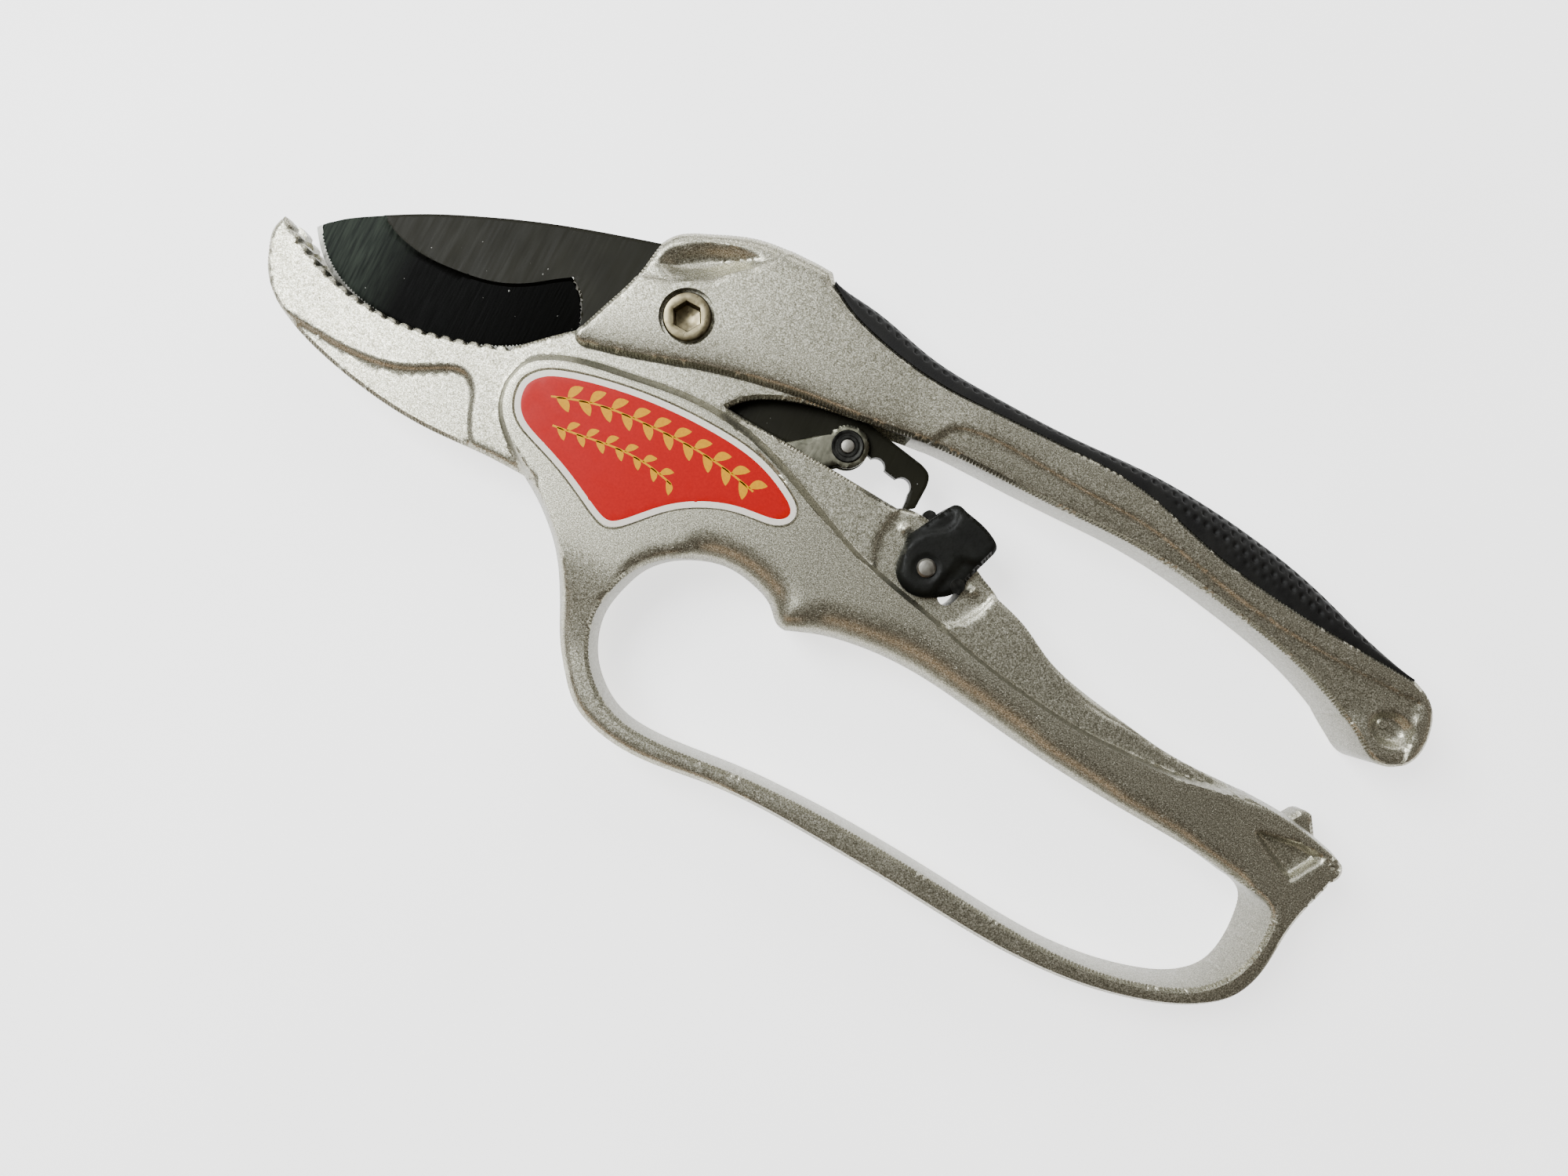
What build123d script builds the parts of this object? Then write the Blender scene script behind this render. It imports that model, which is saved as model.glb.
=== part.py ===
from build123d import *
import math
import os

# Ratchet anvil pruner, lying on its side. Millimetres.
# The plan is drawn with the blade bolt at (0, 0), +X towards the handle ends and +Y towards
# the upper handle. z = 0 is the blade's mid-plane, and the casting is the same on both sides.
# At the end everything is moved so that the origin is the bottom centre of the bounding box.

# ---- driving dimensions -------------------------------------------------------------------
BLADE_HALF = 1.5          # half the blade's thickness
SLOT_HALF = 1.75          # half the width of the slot that the blade closes into
POCKET_HALF = 3.7         # half the width of the pocket for the pawl and the latch hook
WEB_HALF = 5.2            # half the thickness of the lower casting's web and hook
CHEEK_IN = 5.4            # inner face of the upper handle's cheeks
CHEEK_OUT = 8.2           # outer face of the cheeks at the head
GRIP_HALF = 8.5           # half the thickness of both grips and of the label pad
LOOP_HALF = 6.0           # half the depth of the finger loop
RUNNING = 0.05            # radial clearance of every pin that turns in a hole

BOLT = (0.0, 0.0)               # blade bolt: joins the blade to the upper handle
HANDLE_PIVOT = (-10.7, -5.0)    # joins the two handles
PAWL_PIVOT = (17.2, -18.4)      # ratchet links on the lower handle
RATCHET_PIN = (32.5, -5.7)      # rests in the first notch of the blade's tail
LATCH_PIVOT = (52.9, -17.6)

BOLT_R = 2.5
BUSH_R = 3.6
BOLT_HEAD_R = 4.0
BOLT_HEAD_SEAT = 6.4
BOLT_END = 7.4            # how far the shank runs into the nut
BOLT_PROUD = 0.1          # of the cheeks
COUNTERBORE_R = 4.6
HEX_R = 2.5
HEX_DEPTH = 1.3
NUT_SLOT = (10.0, 1.2, 0.5)   # length, width, depth
WASHER_R = 5.6
WASHER_THICK = 0.4
WASHER_GAP = 0.05
PIVOT_STUB_R = 1.5
PIVOT_STUB_END = 7.1
PAWL_PIN_R = 2.0
PAWL_PIN_END = 6.9
PAWL_SPACER_R = 2.9
RATCHET_PIN_R = 1.5       # where it meets the notches
RATCHET_NECK_R = 1.2      # through the links
RATCHET_PIN_END = 3.5
CLIP_R = 2.7
CLIP_THICK = 0.45
LATCH_PIN_R = 1.55
LATCH_PIN_END = 8.1
OPEN_COIL_R = 5.3         # opening spring: radius of its turns, of its wire, and so on
OPEN_WIRE_R = 0.55
OPEN_START_DEG = 90.0
OPEN_TURNS = 1 + 210 / 360
PAWL_COIL_R = 3.35
PAWL_WIRE_R = 0.35
PAWL_START_DEG = 190.0
PAWL_TURNS = 2 + 120 / 360
COIL_PITCH = 2.06          # of both springs, in radii of their wire
OPEN_LEGS = (9.0, 7.0)
PAWL_LEGS = (4.0, 5.0)

LINK_IN = 1.65            # inner face of each ratchet link
LINK_OUT = 2.8
LINK_BOSS_R = 3.6
LINK_WIDTH = 5.6
NOTCH_R = 1.6
NOTCHES = [RATCHET_PIN, (38.2, -6.4), (43.5, -7.3)]
LATCH_OPEN_CLEAR = 10.1   # radius about the latch pin that the blade's tail stays outside
GUIDE_REACH = 5.9
GUIDE_REST_DEG = -2.0
GUIDE_R = 1.2
GUIDE_END = 7.1
LEVER_SKIN = 2.4          # thickness of the latch lever's skirts
LEVER_GAP = 0.2           # between the skirts and the web
LEVER_CLEAR = 9.7         # about the latch pin: room for the web between the skirts
LATCH_SPACER_R = 2.7
SIDE_GAP = 0.03           # at each face of a spacer
GUIDE_PLAY = 0.3          # the arc slot's width over the pin's
LATCH_SWING = 24.0        # each way from rest
HOOK_REACH = 8.56
HOOK_REST_DEG = 109.6
TOOTH_PITCH = 2.3
TOOTH_DEPTH = 0.65
TOOTH_RUNOUT = 0.6        # how far each cut starts outside the edge
LABEL_DEPTH = 0.5
LABEL_THICK = 0.35
LABEL_SCALE = 0.955
LABEL_MIDDLE = (8, -24)    # a point that sees the label's whole outline


# ---- helpers ------------------------------------------------------------------------------
def region(*spans):
    """Closed face. Each span goes on from the last one's end: one point is a straight
    line, several are a smooth curve through them. The last span ends where it began."""
    start = spans[-1][-1]
    edges = []
    for span in spans:
        points = [start, *span]
        edges.append(Line(*points) if len(points) == 2 else Spline(*points))
        start = span[-1]
    return make_face(Wire(edges))


def slab(face, low, high):
    return Pos(0, 0, low) * extrude(face, amount=high - low)


def plate(face, half):
    """The face made into a slab that is centred on the mid-plane."""
    return slab(face, -half, half)


def both_sides(shape):
    """The shape and its mirror image on the other side of the mid-plane."""
    return shape + mirror(shape, about=Plane.XY)


def disc(centre, radius, low, high):
    return slab(Pos(*centre) * Circle(radius), low, high)


def ring(centre, outer, inner, low, high):
    return disc(centre, outer, low, high) - disc(centre, inner, low - 1, high + 1)


def hex_socket(centre, low, high):
    return slab(Pos(*centre) * RegularPolygon(HEX_R, 6), low, high)


def polar(centre, radius, degrees):
    angle = math.radians(degrees)
    return (centre[0] + radius * math.cos(angle), centre[1] + radius * math.sin(angle))


def cut(shape, tools):
    for tool in tools:
        shape = shape - tool
    return shape


# ---- outlines of the lower casting --------------------------------------------------------
SERRATED = [(-65.0, -16.2), (-61.0, -18.5), (-57.2, -20.2), (-52.3, -21.5), (-47.7, -22.2),
            (-42.9, -22.3), (-37.0, -21.6), (-32.3, -20.4), (-27.0, -18.7), (-23.0, -17.1)]


def web_face():
    """The anvil hook and the flat web behind it, with the throat under the upper handle."""
    return region(
        [(-66.9, -18.3), (-66.2, -21.5), (-64.2, -25.5), (-60, -29.2), (-52, -32.5),
         (-43.5, -34.4), (-35.5, -35.4), (-27.8, -35.5), (-20, -35), (-10.5, -35)],
        [(-6, -30)],
        [(100, -30)],
        [(112, -27)],
        [(116, -25.6), (109, -25.6), (95.4, -24.8), (85.5, -23.2), (78, -21.3),
         (72, -18.3), (66, -16.4)],
        [(64.6, -15.5), (62.6, -14.7), (60.4, -13.6), (57, -11.9), (53.5, -10.8), (50, -10.3),
         (47.4, -10.1), (45.4, -10.5), (44.4, -11)],
        [(12.2, -9.6)],
        [(14.2, -7.3), (17.5, -5.2), (22.3, -3.3), (27.5, -2.1), (31.8, -1.4)],
        [(33, -0.4), (31, 0.8), (22, 0.8), (13, -1.2), (6.2, -3.4)],
        [(3.2, -6.1), (-0.6, -6.9), (-4.6, -5.6)],
        [(-7.3, -1.6), (-9.6, -0.9), (-11, -1.8), (-11.9, -3.4), (-12.7, -5.4), (-13.9, -8.6)],
        [(-17.2, -11.5), SERRATED[-1]],
        SERRATED[-2::-1],
        [(-66.2, -15.8)],
    )


def pad_face():
    """The thick part: label pad, finger rest, grip and tail."""
    return region(
        [(-20.4, -18.1), (-17, -15.3), (-12, -13.4), (-4.2, -11.9),
         (4, -10.6), (12.4, -10.4), (22.2, -12.3), (36, -17.8), (45, -21.1), (57.5, -23.9),
         (68, -26.3), (78, -27.8), (87.4, -28.6), (96.3, -28.4), (104, -27.8),
         (116.4, -25.2)],
        [(124.2, -25.5), (132.1, -27)],
        [(135, -28.4), (135.4, -30.6), (133.2, -33.4)],
        [(126, -40)],
        [(118, -46)],
        [(20, -46)],
        [(1.2, -45.5)],
        [(-1.2, -42.7), (-4.6, -39.4), (-8, -36.7), (-12.2, -34.6)],
        [(-17, -31.5), (-21.2, -26.2), (-21.8, -22.8)],
    )


def loop_outer_face():
    return region(
        [(-12.2, -34.9)],
        [(-8.5, -37.2), (-5.1, -39.9), (-1.8, -43.2), (1, -47.2), (3.7, -52), (6.1, -56.3),
         (9, -60.2), (12.5, -63.8), (18.6, -66.3), (27, -66.8), (38.4, -65.3), (48, -64.8),
         (59.5, -65.1), (74.3, -65.8), (89.5, -66.7), (103.5, -66.2), (116.4, -63.6),
         (126, -59.4), (130.5, -55.2), (132.2, -49), (132.2, -42), (133.6, -35.5),
         (134.6, -32)],
        [(130, -29)],
        [(60, -30)],
        [(0, -28)],
    )


def window_face():
    """The opening for the fingers."""
    return region(
        [(115, -37.9), (103, -37.3), (84, -36.1), (73.8, -34.9), (64.7, -33.8),
         (57, -33.4), (49, -34), (42, -35.6), (37.6, -37.3)],
        [(36.4, -37.2), (33.7, -35), (30.3, -33.4), (24.6, -32.6), (19.3, -33.9),
         (14.6, -36.6), (11.4, -40.4), (9.8, -44.7), (9.2, -49), (10, -53), (12, -56.8),
         (15.2, -60), (19.5, -62.3), (25, -63.1), (33.8, -62.5), (42, -61.6), (52, -61.1),
         (65.4, -61.2), (84, -62.3), (97, -63), (106, -62.6), (116.5, -60.4),
         (123, -57.6), (127, -53.8), (128.7, -49), (128.8, -44), (127.6, -40.4),
         (125.6, -39.3), (122.5, -38.9)],
    )


def slot_face():
    """Where the blade closes between the two serrated cheeks."""
    return region(
        [(-66.5, -18.4), (-61.5, -21.6), (-55, -24.2), (-48, -25.3), (-41, -25.3),
         (-34, -24.3), (-27, -22), (-20, -18.6), (-13, -15), (-6, -13), (4, -12.6),
         (14, -14)],
        [(20, 6)],
        [(-30, 6)],
        [(-70, -8)],
        [(-70, -17)],
    )


def pocket_face():
    """The hollow where the ratchet links, the blade's tail and the latch hook swing."""
    return region(
        [(12.2, -20)],
        [(13.4, -22), (17, -23), (22, -22.4)],
        [(56, -22.4)],
        [(59, -21.2), (60.2, -18)],
        [(60.2, 6)],
        [(8.5, 6)],
        [(8.5, -10)],
        [(12.2, -14)],
    )


def serrated(face):
    """The web's face with a V cut for each gap between teeth, square to the edge."""
    edge = Spline(*SERRATED)
    count = int(edge.length / TOOTH_PITCH)
    vee = Polygon((-TOOTH_PITCH / 2, TOOTH_RUNOUT), (0, -TOOTH_DEPTH),
                  (TOOTH_PITCH / 2, TOOTH_RUNOUT), align=None)
    for index in range(count):
        place = edge.position_at((index + 0.6) / count)
        along = edge.tangent_at((index + 0.6) / count)
        turn = math.degrees(math.atan2(along.Y, along.X))
        face = face - Pos(place.X, place.Y) * Rot(0, 0, turn) * vee
    return face


def label_recess_face():
    return region(
        [(-16.8, -18.4), (-13.4, -16.7), (-6.7, -14.9), (0.6, -13.7), (7.9, -13.2),
         (14.6, -13.3), (20.8, -14.1), (26.3, -16.1), (30.1, -18.2)],
        [(31.1, -20.5), (29.8, -22.7), (26.2, -23.8)],
        [(21.1, -24.5), (16.7, -26.2), (12.4, -29), (9.2, -32.3), (6.4, -35.4)],
        [(4.5, -36.4), (1.8, -35.7), (-6, -31.9), (-12.9, -29.4)],
        [(-16.4, -27.8), (-18.5, -25), (-19, -21.2)],
    )


def make_label():
    """A printed film in the recess, a little smaller than the recess all round."""
    back = Vector(*LABEL_MIDDLE) * (1 - LABEL_SCALE)
    film = Pos(back) * scale(label_recess_face(), by=LABEL_SCALE)
    floor = GRIP_HALF - LABEL_DEPTH
    return slab(film, floor, floor + LABEL_THICK)


STOP_LUG = [(124.5, -27), (126.4, -23.9), (127.2, -23.3), (128.8, -23.4), (131.6, -27.6)]
STOP_LUG_HALF = 2.5


def make_lower_handle():
    web = plate(serrated(web_face()), WEB_HALF)
    pad = plate(pad_face(), GRIP_HALF)
    loop = plate(loop_outer_face(), LOOP_HALF)
    body = web + pad + loop - plate(window_face(), GRIP_HALF + 1)
    body = cut(body, [plate(slot_face(), SLOT_HALF), plate(pocket_face(), POCKET_HALF)])
    body = cut(body, [disc(HANDLE_PIVOT, PIVOT_STUB_R, -WEB_HALF - 1, WEB_HALF + 1),
                      disc(PAWL_PIVOT, PAWL_PIN_R, -PAWL_PIN_END - 0.1, PAWL_PIN_END + 0.1),
                      disc(LATCH_PIVOT, LATCH_PIN_R, -WEB_HALF - 1, WEB_HALF + 1)])
    arc = CenterArc(LATCH_PIVOT, GUIDE_REACH, GUIDE_REST_DEG - LATCH_SWING, 2 * LATCH_SWING)
    guide_slot = plate(SlotArc(arc, 2 * GUIDE_R + GUIDE_PLAY), WEB_HALF + 1)
    recess = slab(label_recess_face(), GRIP_HALF - LABEL_DEPTH, GRIP_HALF + 1)
    lug = plate(Polygon(*STOP_LUG, align=None), STOP_LUG_HALF)
    return cut(body, [guide_slot, recess]) + lug


# ---- upper handle -------------------------------------------------------------------------
CASTING_TOP = [(18.4, 16.2), (22.5, 13.8), (28.6, 11.8), (34.9, 10.5), (43, 9.8), (52, 10),
               (62, 10.3), (74.2, 10.4), (80.3, 9.6), (90, 7.2), (98, 5.6), (106.5, 4.5),
               (116, 3.9), (124, 3.6), (130.5, 3.3)]
GRIP_TOP = [(27, 15.7), (37.5, 13.4), (50, 12.5), (64, 12.5), (78, 13.4), (90, 13.1),
            (100, 11.9), (110, 9.8), (119, 6.9)]


def upper_face():
    return region(
        [(-8.3, 10.7), (-5.3, 12.9), (-0.7, 15.2), (4, 16.9), (10, 17.7), (17.2, 17.6)],
        [CASTING_TOP[0]],
        CASTING_TOP[1:],
        [(134.3, 1.5), (136.4, -1.4), (137.2, -5), (136.6, -8.3), (134.4, -10.7),
         (131.2, -11.2), (128.5, -9.9)],
        [(123.5, -7), (119, -5.1), (112, -2.9), (104.8, -1.4), (95.4, 0.1), (86.4, 1.1),
         (79.6, 1.4), (70, 1.1), (57, 0.8), (44, 0.3), (31, -1.6), (22.6, -2.6), (14.8, -4),
         (6.9, -5.9), (-0.6, -8.3), (-8, -10.6), (-12, -11.6)],
        [(-14, -11.8), (-15, -10.6), (-14.4, -9)],
        [(-12.1, -3), (-10.6, 1.4), (-9.5, 8.8)],
    )


def channel_face():
    """The gap between the cheeks. It is open at the front, above the blade, and below."""
    return region(
        [(-20, 20)],
        [(5, 20)],
        [(5.2, 13)],
        [(7, 10.4), (12, 8.8), (22, 7.6), (33, 6), (38.5, 3.8), (41, 0)],
        [(42, -14)],
        [(-20, -16)],
    )



def hollow_face():
    """The hollow of the grip. It is open at the back, where the rubber pad closes it."""
    return region(
        [(46, 14)],
        [(46.5, 7)],
        [(48, 4.8), (52, 4.2), (66, 4.7), (79, 4.8), (90, 3.9), (98, 2.8)],
        [(100, 14)],
    )


def make_upper_handle():
    head = plate(upper_face(), CHEEK_OUT)
    rear = plate(upper_face() & Pos(92, 0) * Rectangle(100, 60), GRIP_HALF)
    body = head + rear
    body = cut(body, [plate(channel_face(), CHEEK_IN), plate(hollow_face(), CHEEK_IN)])
    holes = [disc(BOLT, BOLT_R, -CHEEK_OUT - 1, CHEEK_OUT + 1),
             both_sides(disc(BOLT, COUNTERBORE_R, BOLT_HEAD_SEAT, CHEEK_OUT + 1)),
             disc(HANDLE_PIVOT, PIVOT_STUB_R + RUNNING, -PIVOT_STUB_END - 0.1,
                  PIVOT_STUB_END + 0.1)]
    return cut(body, holes)


def make_grip_insert():
    """The rubber pad on the back of the upper handle."""
    face = region([*GRIP_TOP, CASTING_TOP[-1]], CASTING_TOP[-2::-1])
    return plate(face, GRIP_HALF)


# ---- blade --------------------------------------------------------------------------------
CUTTING_EDGE = [(-62.8, -14.6), (-61, -17.0), (-56.5, -20.6), (-51.1, -22.5), (-44.1, -23.2),
                (-35.8, -22.2), (-28.2, -19.6), (-22.5, -16.4), (-18.5, -13), (-15.6, -10)]


def blade_face():
    lobe_end = polar(LATCH_PIVOT, LATCH_OPEN_CLEAR, 124.5)
    lobe_in = polar(LATCH_PIVOT, LATCH_OPEN_CLEAR, 138)
    outline = region(
        [(-60, -12), (-53.4, -7.8), (-47.8, -4.6), (-40.8, -1.2), (-33.6, 1.9),
         (-26.2, 4.7), (-18.6, 7.2), (-10.4, 9.7)],
        [(-7.5, 10.5), (-3.5, 10.4), (1.5, 9.2), (6, 6.6), (12, 4.2), (22, 1.6), (34, -0.6),
         (44.6, -2.4)],
        [(46.6, -3.4), (47.2, -5.4)],
        [lobe_end],
        [polar(LATCH_PIVOT, LATCH_OPEN_CLEAR, 131), lobe_in],
        [(45.3, -9)],
        [(44.9, -7)],
        [(43.4, -6.74), (42, -6.56), (40.1, -6.23), (38.3, -5.83), (36.9, -5.43),
         (35.4, -4.97), (34.2, -4.55), (32.9, -4.2)],
        [(30.6, -5.3)],
        [(27, -8.6), (20.6, -9.9), (12, -9.2), (4, -8.4), (-4, -9), (-10, -11)],
        [CUTTING_EDGE[-1]],
        CUTTING_EDGE[-2::-1],
    )
    for notch in NOTCHES:
        outline = outline - Pos(*notch) * Circle(NOTCH_R)
    return outline


def make_blade():
    body = plate(blade_face(), BLADE_HALF)
    return body - disc(BOLT, BUSH_R + RUNNING, -BLADE_HALF - 1, BLADE_HALF + 1)


def make_bolt():
    top = CHEEK_OUT + BOLT_PROUD
    shank = disc(BOLT, BOLT_R, -BOLT_END, BOLT_HEAD_SEAT)
    head = disc(BOLT, BOLT_HEAD_R, BOLT_HEAD_SEAT, top)
    return shank + head - hex_socket(BOLT, top - HEX_DEPTH, top + 1)


def make_nut():
    end = -CHEEK_OUT - BOLT_PROUD
    length, width, depth = NUT_SLOT
    body = ring(BOLT, BOLT_HEAD_R, BOLT_R, -BOLT_END, -BOLT_HEAD_SEAT)
    cap = disc(BOLT, BOLT_HEAD_R, end, -BOLT_END)
    return body + cap - slab(Pos(*BOLT) * Rectangle(length, width), end - 1, end + depth)


def make_bushing():
    return ring(BOLT, BUSH_R, BOLT_R, -CHEEK_IN, CHEEK_IN)


def make_washers():
    low = BLADE_HALF + WASHER_GAP
    return both_sides(ring(BOLT, WASHER_R, BUSH_R + RUNNING, low, low + WASHER_THICK))


def torsion_spring(radius, wire_r, turns, legs):
    """A helix of round wire about the origin, starting at +X, with a straight leg that
    runs off backwards from its first end and another that runs on from its last end."""
    pitch = COIL_PITCH * wire_r
    coil = Helix(pitch=pitch, height=pitch * turns, radius=radius)
    first = Line(coil @ 0 - (coil % 0) * legs[0], coil @ 0)
    last = Line(coil @ 1, coil @ 1 + (coil % 1) * legs[1])
    path = Wire([first, coil, last])
    return sweep(Plane(origin=path @ 0, z_dir=path % 0) * Circle(wire_r), path=path)


def make_opening_spring():
    """Round the bushing, in front of the blade: pushes the handles apart."""
    wire = torsion_spring(OPEN_COIL_R, OPEN_WIRE_R, OPEN_TURNS, OPEN_LEGS)
    first_turn = BLADE_HALF + WASHER_GAP + WASHER_THICK + 0.15 + OPEN_WIRE_R
    return Pos(*BOLT, first_turn) * Rot(0, 0, OPEN_START_DEG) * wire


def make_pawl_spring():
    """Round the spacer between the links: presses the ratchet pin into the notches."""
    wire = torsion_spring(PAWL_COIL_R, PAWL_WIRE_R, PAWL_TURNS, PAWL_LEGS)
    first_turn = -COIL_PITCH * PAWL_WIRE_R * PAWL_TURNS / 2
    return Pos(*PAWL_PIVOT, first_turn) * Rot(0, 0, PAWL_START_DEG) * wire


def make_pivot_stubs():
    return both_sides(disc(HANDLE_PIVOT, PIVOT_STUB_R, SLOT_HALF + 0.25, PIVOT_STUB_END))


# ---- ratchet pawl -------------------------------------------------------------------------
def link_face():
    span = math.dist(PAWL_PIVOT, RATCHET_PIN)
    angle = math.degrees(math.atan2(RATCHET_PIN[1] - PAWL_PIVOT[1],
                                    RATCHET_PIN[0] - PAWL_PIVOT[0]))
    bar = Pos(*PAWL_PIVOT) * Rot(0, 0, angle) * Pos(span / 2, 0) * Rectangle(span, LINK_WIDTH)
    return (bar + Pos(*PAWL_PIVOT) * Circle(LINK_BOSS_R)
            + Pos(*RATCHET_PIN) * Circle(LINK_BOSS_R))


def make_link(side):
    link = slab(link_face(), LINK_IN, LINK_OUT)
    link = cut(link, [disc(PAWL_PIVOT, PAWL_PIN_R + RUNNING, 0, 5),
                      disc(RATCHET_PIN, RATCHET_NECK_R, 0, 5)])
    return link if side > 0 else mirror(link, about=Plane.XY)


def make_ratchet_pin():
    """A shouldered pin: thick where it meets the notches, thin through the links."""
    neck = disc(RATCHET_PIN, RATCHET_NECK_R, -RATCHET_PIN_END, RATCHET_PIN_END)
    return neck + disc(RATCHET_PIN, RATCHET_PIN_R, -LINK_IN, LINK_IN)


def make_clips():
    return both_sides(ring(RATCHET_PIN, CLIP_R, RATCHET_NECK_R, LINK_OUT,
                           LINK_OUT + CLIP_THICK))


def make_pawl_pin():
    return disc(PAWL_PIVOT, PAWL_PIN_R, -PAWL_PIN_END, PAWL_PIN_END)


def make_pawl_spacer():
    end = LINK_IN - SIDE_GAP
    return ring(PAWL_PIVOT, PAWL_SPACER_R, PAWL_PIN_R + RUNNING, -end, end)


# ---- latch --------------------------------------------------------------------------------
def latch_face():
    return region(
        [(60.4, -8.3), (61.6, -9.4), (61.3, -11.4)],
        [(59.9, -16.4), (58.9, -19.2), (56.2, -21.3)],
        [polar(LATCH_PIVOT, 4.8, -75), polar(LATCH_PIVOT, 4.8, -110),
         polar(LATCH_PIVOT, 4.8, -150), polar(LATCH_PIVOT, 4.8, 170)],
        [(47.9, -14.2)],
        [(51.5, -7.5), (52.5, -6.2), (54.6, -6.5)],
    )


def hook_face():
    tip = polar(LATCH_PIVOT, HOOK_REACH, HOOK_REST_DEG)
    middle = polar(LATCH_PIVOT, HOOK_REACH / 2, HOOK_REST_DEG)
    return (Pos(*LATCH_PIVOT) * Circle(3) + Pos(*tip) * Circle(1.2)
            + Pos(*middle) * Rot(0, 0, HOOK_REST_DEG) * Rectangle(HOOK_REACH, 2.4))


def guide_centre():
    return polar(LATCH_PIVOT, GUIDE_REACH, GUIDE_REST_DEG)


def make_latch_lever():
    """Two skirts over the web, joined by the thumb tab above the web's edge."""
    lever = plate(latch_face(), WEB_HALF + LEVER_SKIN)
    inner = plate(Pos(*LATCH_PIVOT) * Circle(LEVER_CLEAR), WEB_HALF + LEVER_GAP)
    below = plate(Pos(62.9, -15.1) * Rectangle(10, 9), WEB_HALF + LEVER_GAP)
    holes = [disc(LATCH_PIVOT, LATCH_PIN_R + RUNNING, -9, 9),
             disc(guide_centre(), GUIDE_R, -GUIDE_END, GUIDE_END),
             plate(hook_face(), BLADE_HALF)]
    return cut(lever, [inner, below, *holes])


def make_latch_hook():
    """The steel arm inside the web that blocks the blade's tail."""
    return plate(hook_face(), BLADE_HALF) - disc(LATCH_PIVOT, LATCH_PIN_R + RUNNING, -3, 3)


def make_latch_spacers():
    return both_sides(ring(LATCH_PIVOT, LATCH_SPACER_R, LATCH_PIN_R + RUNNING,
                           BLADE_HALF + SIDE_GAP, POCKET_HALF - SIDE_GAP))


def make_latch_pin():
    return disc(LATCH_PIVOT, LATCH_PIN_R, -LATCH_PIN_END, LATCH_PIN_END)


def make_guide_pin():
    """Runs in the arc slots of the web and stops the latch at both ends of its swing."""
    return disc(guide_centre(), GUIDE_R, -GUIDE_END, GUIDE_END)


# ---- output -------------------------------------------------------------------------------
def all_parts():
    return {
        "lower_handle": make_lower_handle(),
        "label": make_label(),
        "handle_pivot_stubs": make_pivot_stubs(),
        "pawl_pivot_pin": make_pawl_pin(),
        "pawl_spacer": make_pawl_spacer(),
        "latch_pin": make_latch_pin(),
        "upper_handle": make_upper_handle(),
        "grip_insert": make_grip_insert(),
        "blade_bolt": make_bolt(),
        "blade_nut": make_nut(),
        "blade_bushing": make_bushing(),
        "thrust_washers": make_washers(),
        "blade": make_blade(),
        "pawl_link_front": make_link(1),
        "pawl_link_rear": make_link(-1),
        "ratchet_pin": make_ratchet_pin(),
        "pawl_clips": make_clips(),
        "latch_lever": make_latch_lever(),
        "latch_hook": make_latch_hook(),
        "latch_spacers": make_latch_spacers(),
        "latch_guide_pin": make_guide_pin(),
        "opening_spring": make_opening_spring(),
        "pawl_spring": make_pawl_spring(),
    }


def main():
    os.makedirs("parts", exist_ok=True)
    parts = all_parts()
    box = Compound(list(parts.values())).bounding_box()
    shift = Pos(-box.center().X, -box.center().Y, -box.min.Z)
    print("bolt axis in the output frame", -box.center().X, -box.center().Y, -box.min.Z)
    for name, shape in parts.items():
        export_step(shift * shape, f"parts/{name}.step")


main()
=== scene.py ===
import math

import bpy
import numpy as np
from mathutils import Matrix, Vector, geometry


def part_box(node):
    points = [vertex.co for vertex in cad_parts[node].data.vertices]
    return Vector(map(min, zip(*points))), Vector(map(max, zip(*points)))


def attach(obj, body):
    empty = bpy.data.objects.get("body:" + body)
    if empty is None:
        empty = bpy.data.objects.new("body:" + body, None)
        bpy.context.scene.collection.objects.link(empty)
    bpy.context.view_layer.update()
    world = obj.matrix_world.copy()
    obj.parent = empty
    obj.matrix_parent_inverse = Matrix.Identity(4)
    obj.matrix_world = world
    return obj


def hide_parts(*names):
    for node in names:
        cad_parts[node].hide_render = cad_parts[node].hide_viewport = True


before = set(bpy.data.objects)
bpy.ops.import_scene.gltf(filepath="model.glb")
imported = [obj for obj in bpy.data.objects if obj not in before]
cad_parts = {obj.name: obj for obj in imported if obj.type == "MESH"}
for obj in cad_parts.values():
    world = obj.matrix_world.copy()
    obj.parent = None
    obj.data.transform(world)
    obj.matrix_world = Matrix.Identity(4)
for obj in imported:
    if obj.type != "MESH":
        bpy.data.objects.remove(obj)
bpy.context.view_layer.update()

# The looks of a ratchet anvil pruner that lies on its side. Lengths are millimetres in plan,
# measured from the blade bolt in the blade's mid-plane, with +X towards the handle ends, and
# in_frame() turns them into metres in the row frame.

MM = 0.001
bolt_low, bolt_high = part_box("blade_bolt")
blade_low, blade_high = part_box("blade")
MIDDLE = ((bolt_low.x + bolt_high.x) / 2, (bolt_low.y + bolt_high.y) / 2,
          (blade_low.z + blade_high.z) / 2)

# ---- sizes that repeat the CAD part's -----------------------------------------------------
BLADE_HALF = 1.5
SLOT_HALF = 1.75
POCKET_HALF = 3.7
WEB_HALF = 5.2
CHEEK_IN = 5.4
CHEEK_OUT = 8.2
GRIP_HALF = 8.5
LOOP_HALF = 6.0
HANDLE_PIVOT = (-10.7, -5.0)
PAWL_PIVOT = (17.2, -18.4)
RATCHET_PIN = (32.5, -5.7)
LATCH_PIVOT = (52.9, -17.6)
TOOTH_PITCH = 2.3
TOOTH_DEPTH = 0.65
LABEL_DEPTH = 0.5
NOTCHES = [RATCHET_PIN, (38.2, -6.4), (43.5, -7.3)]

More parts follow.
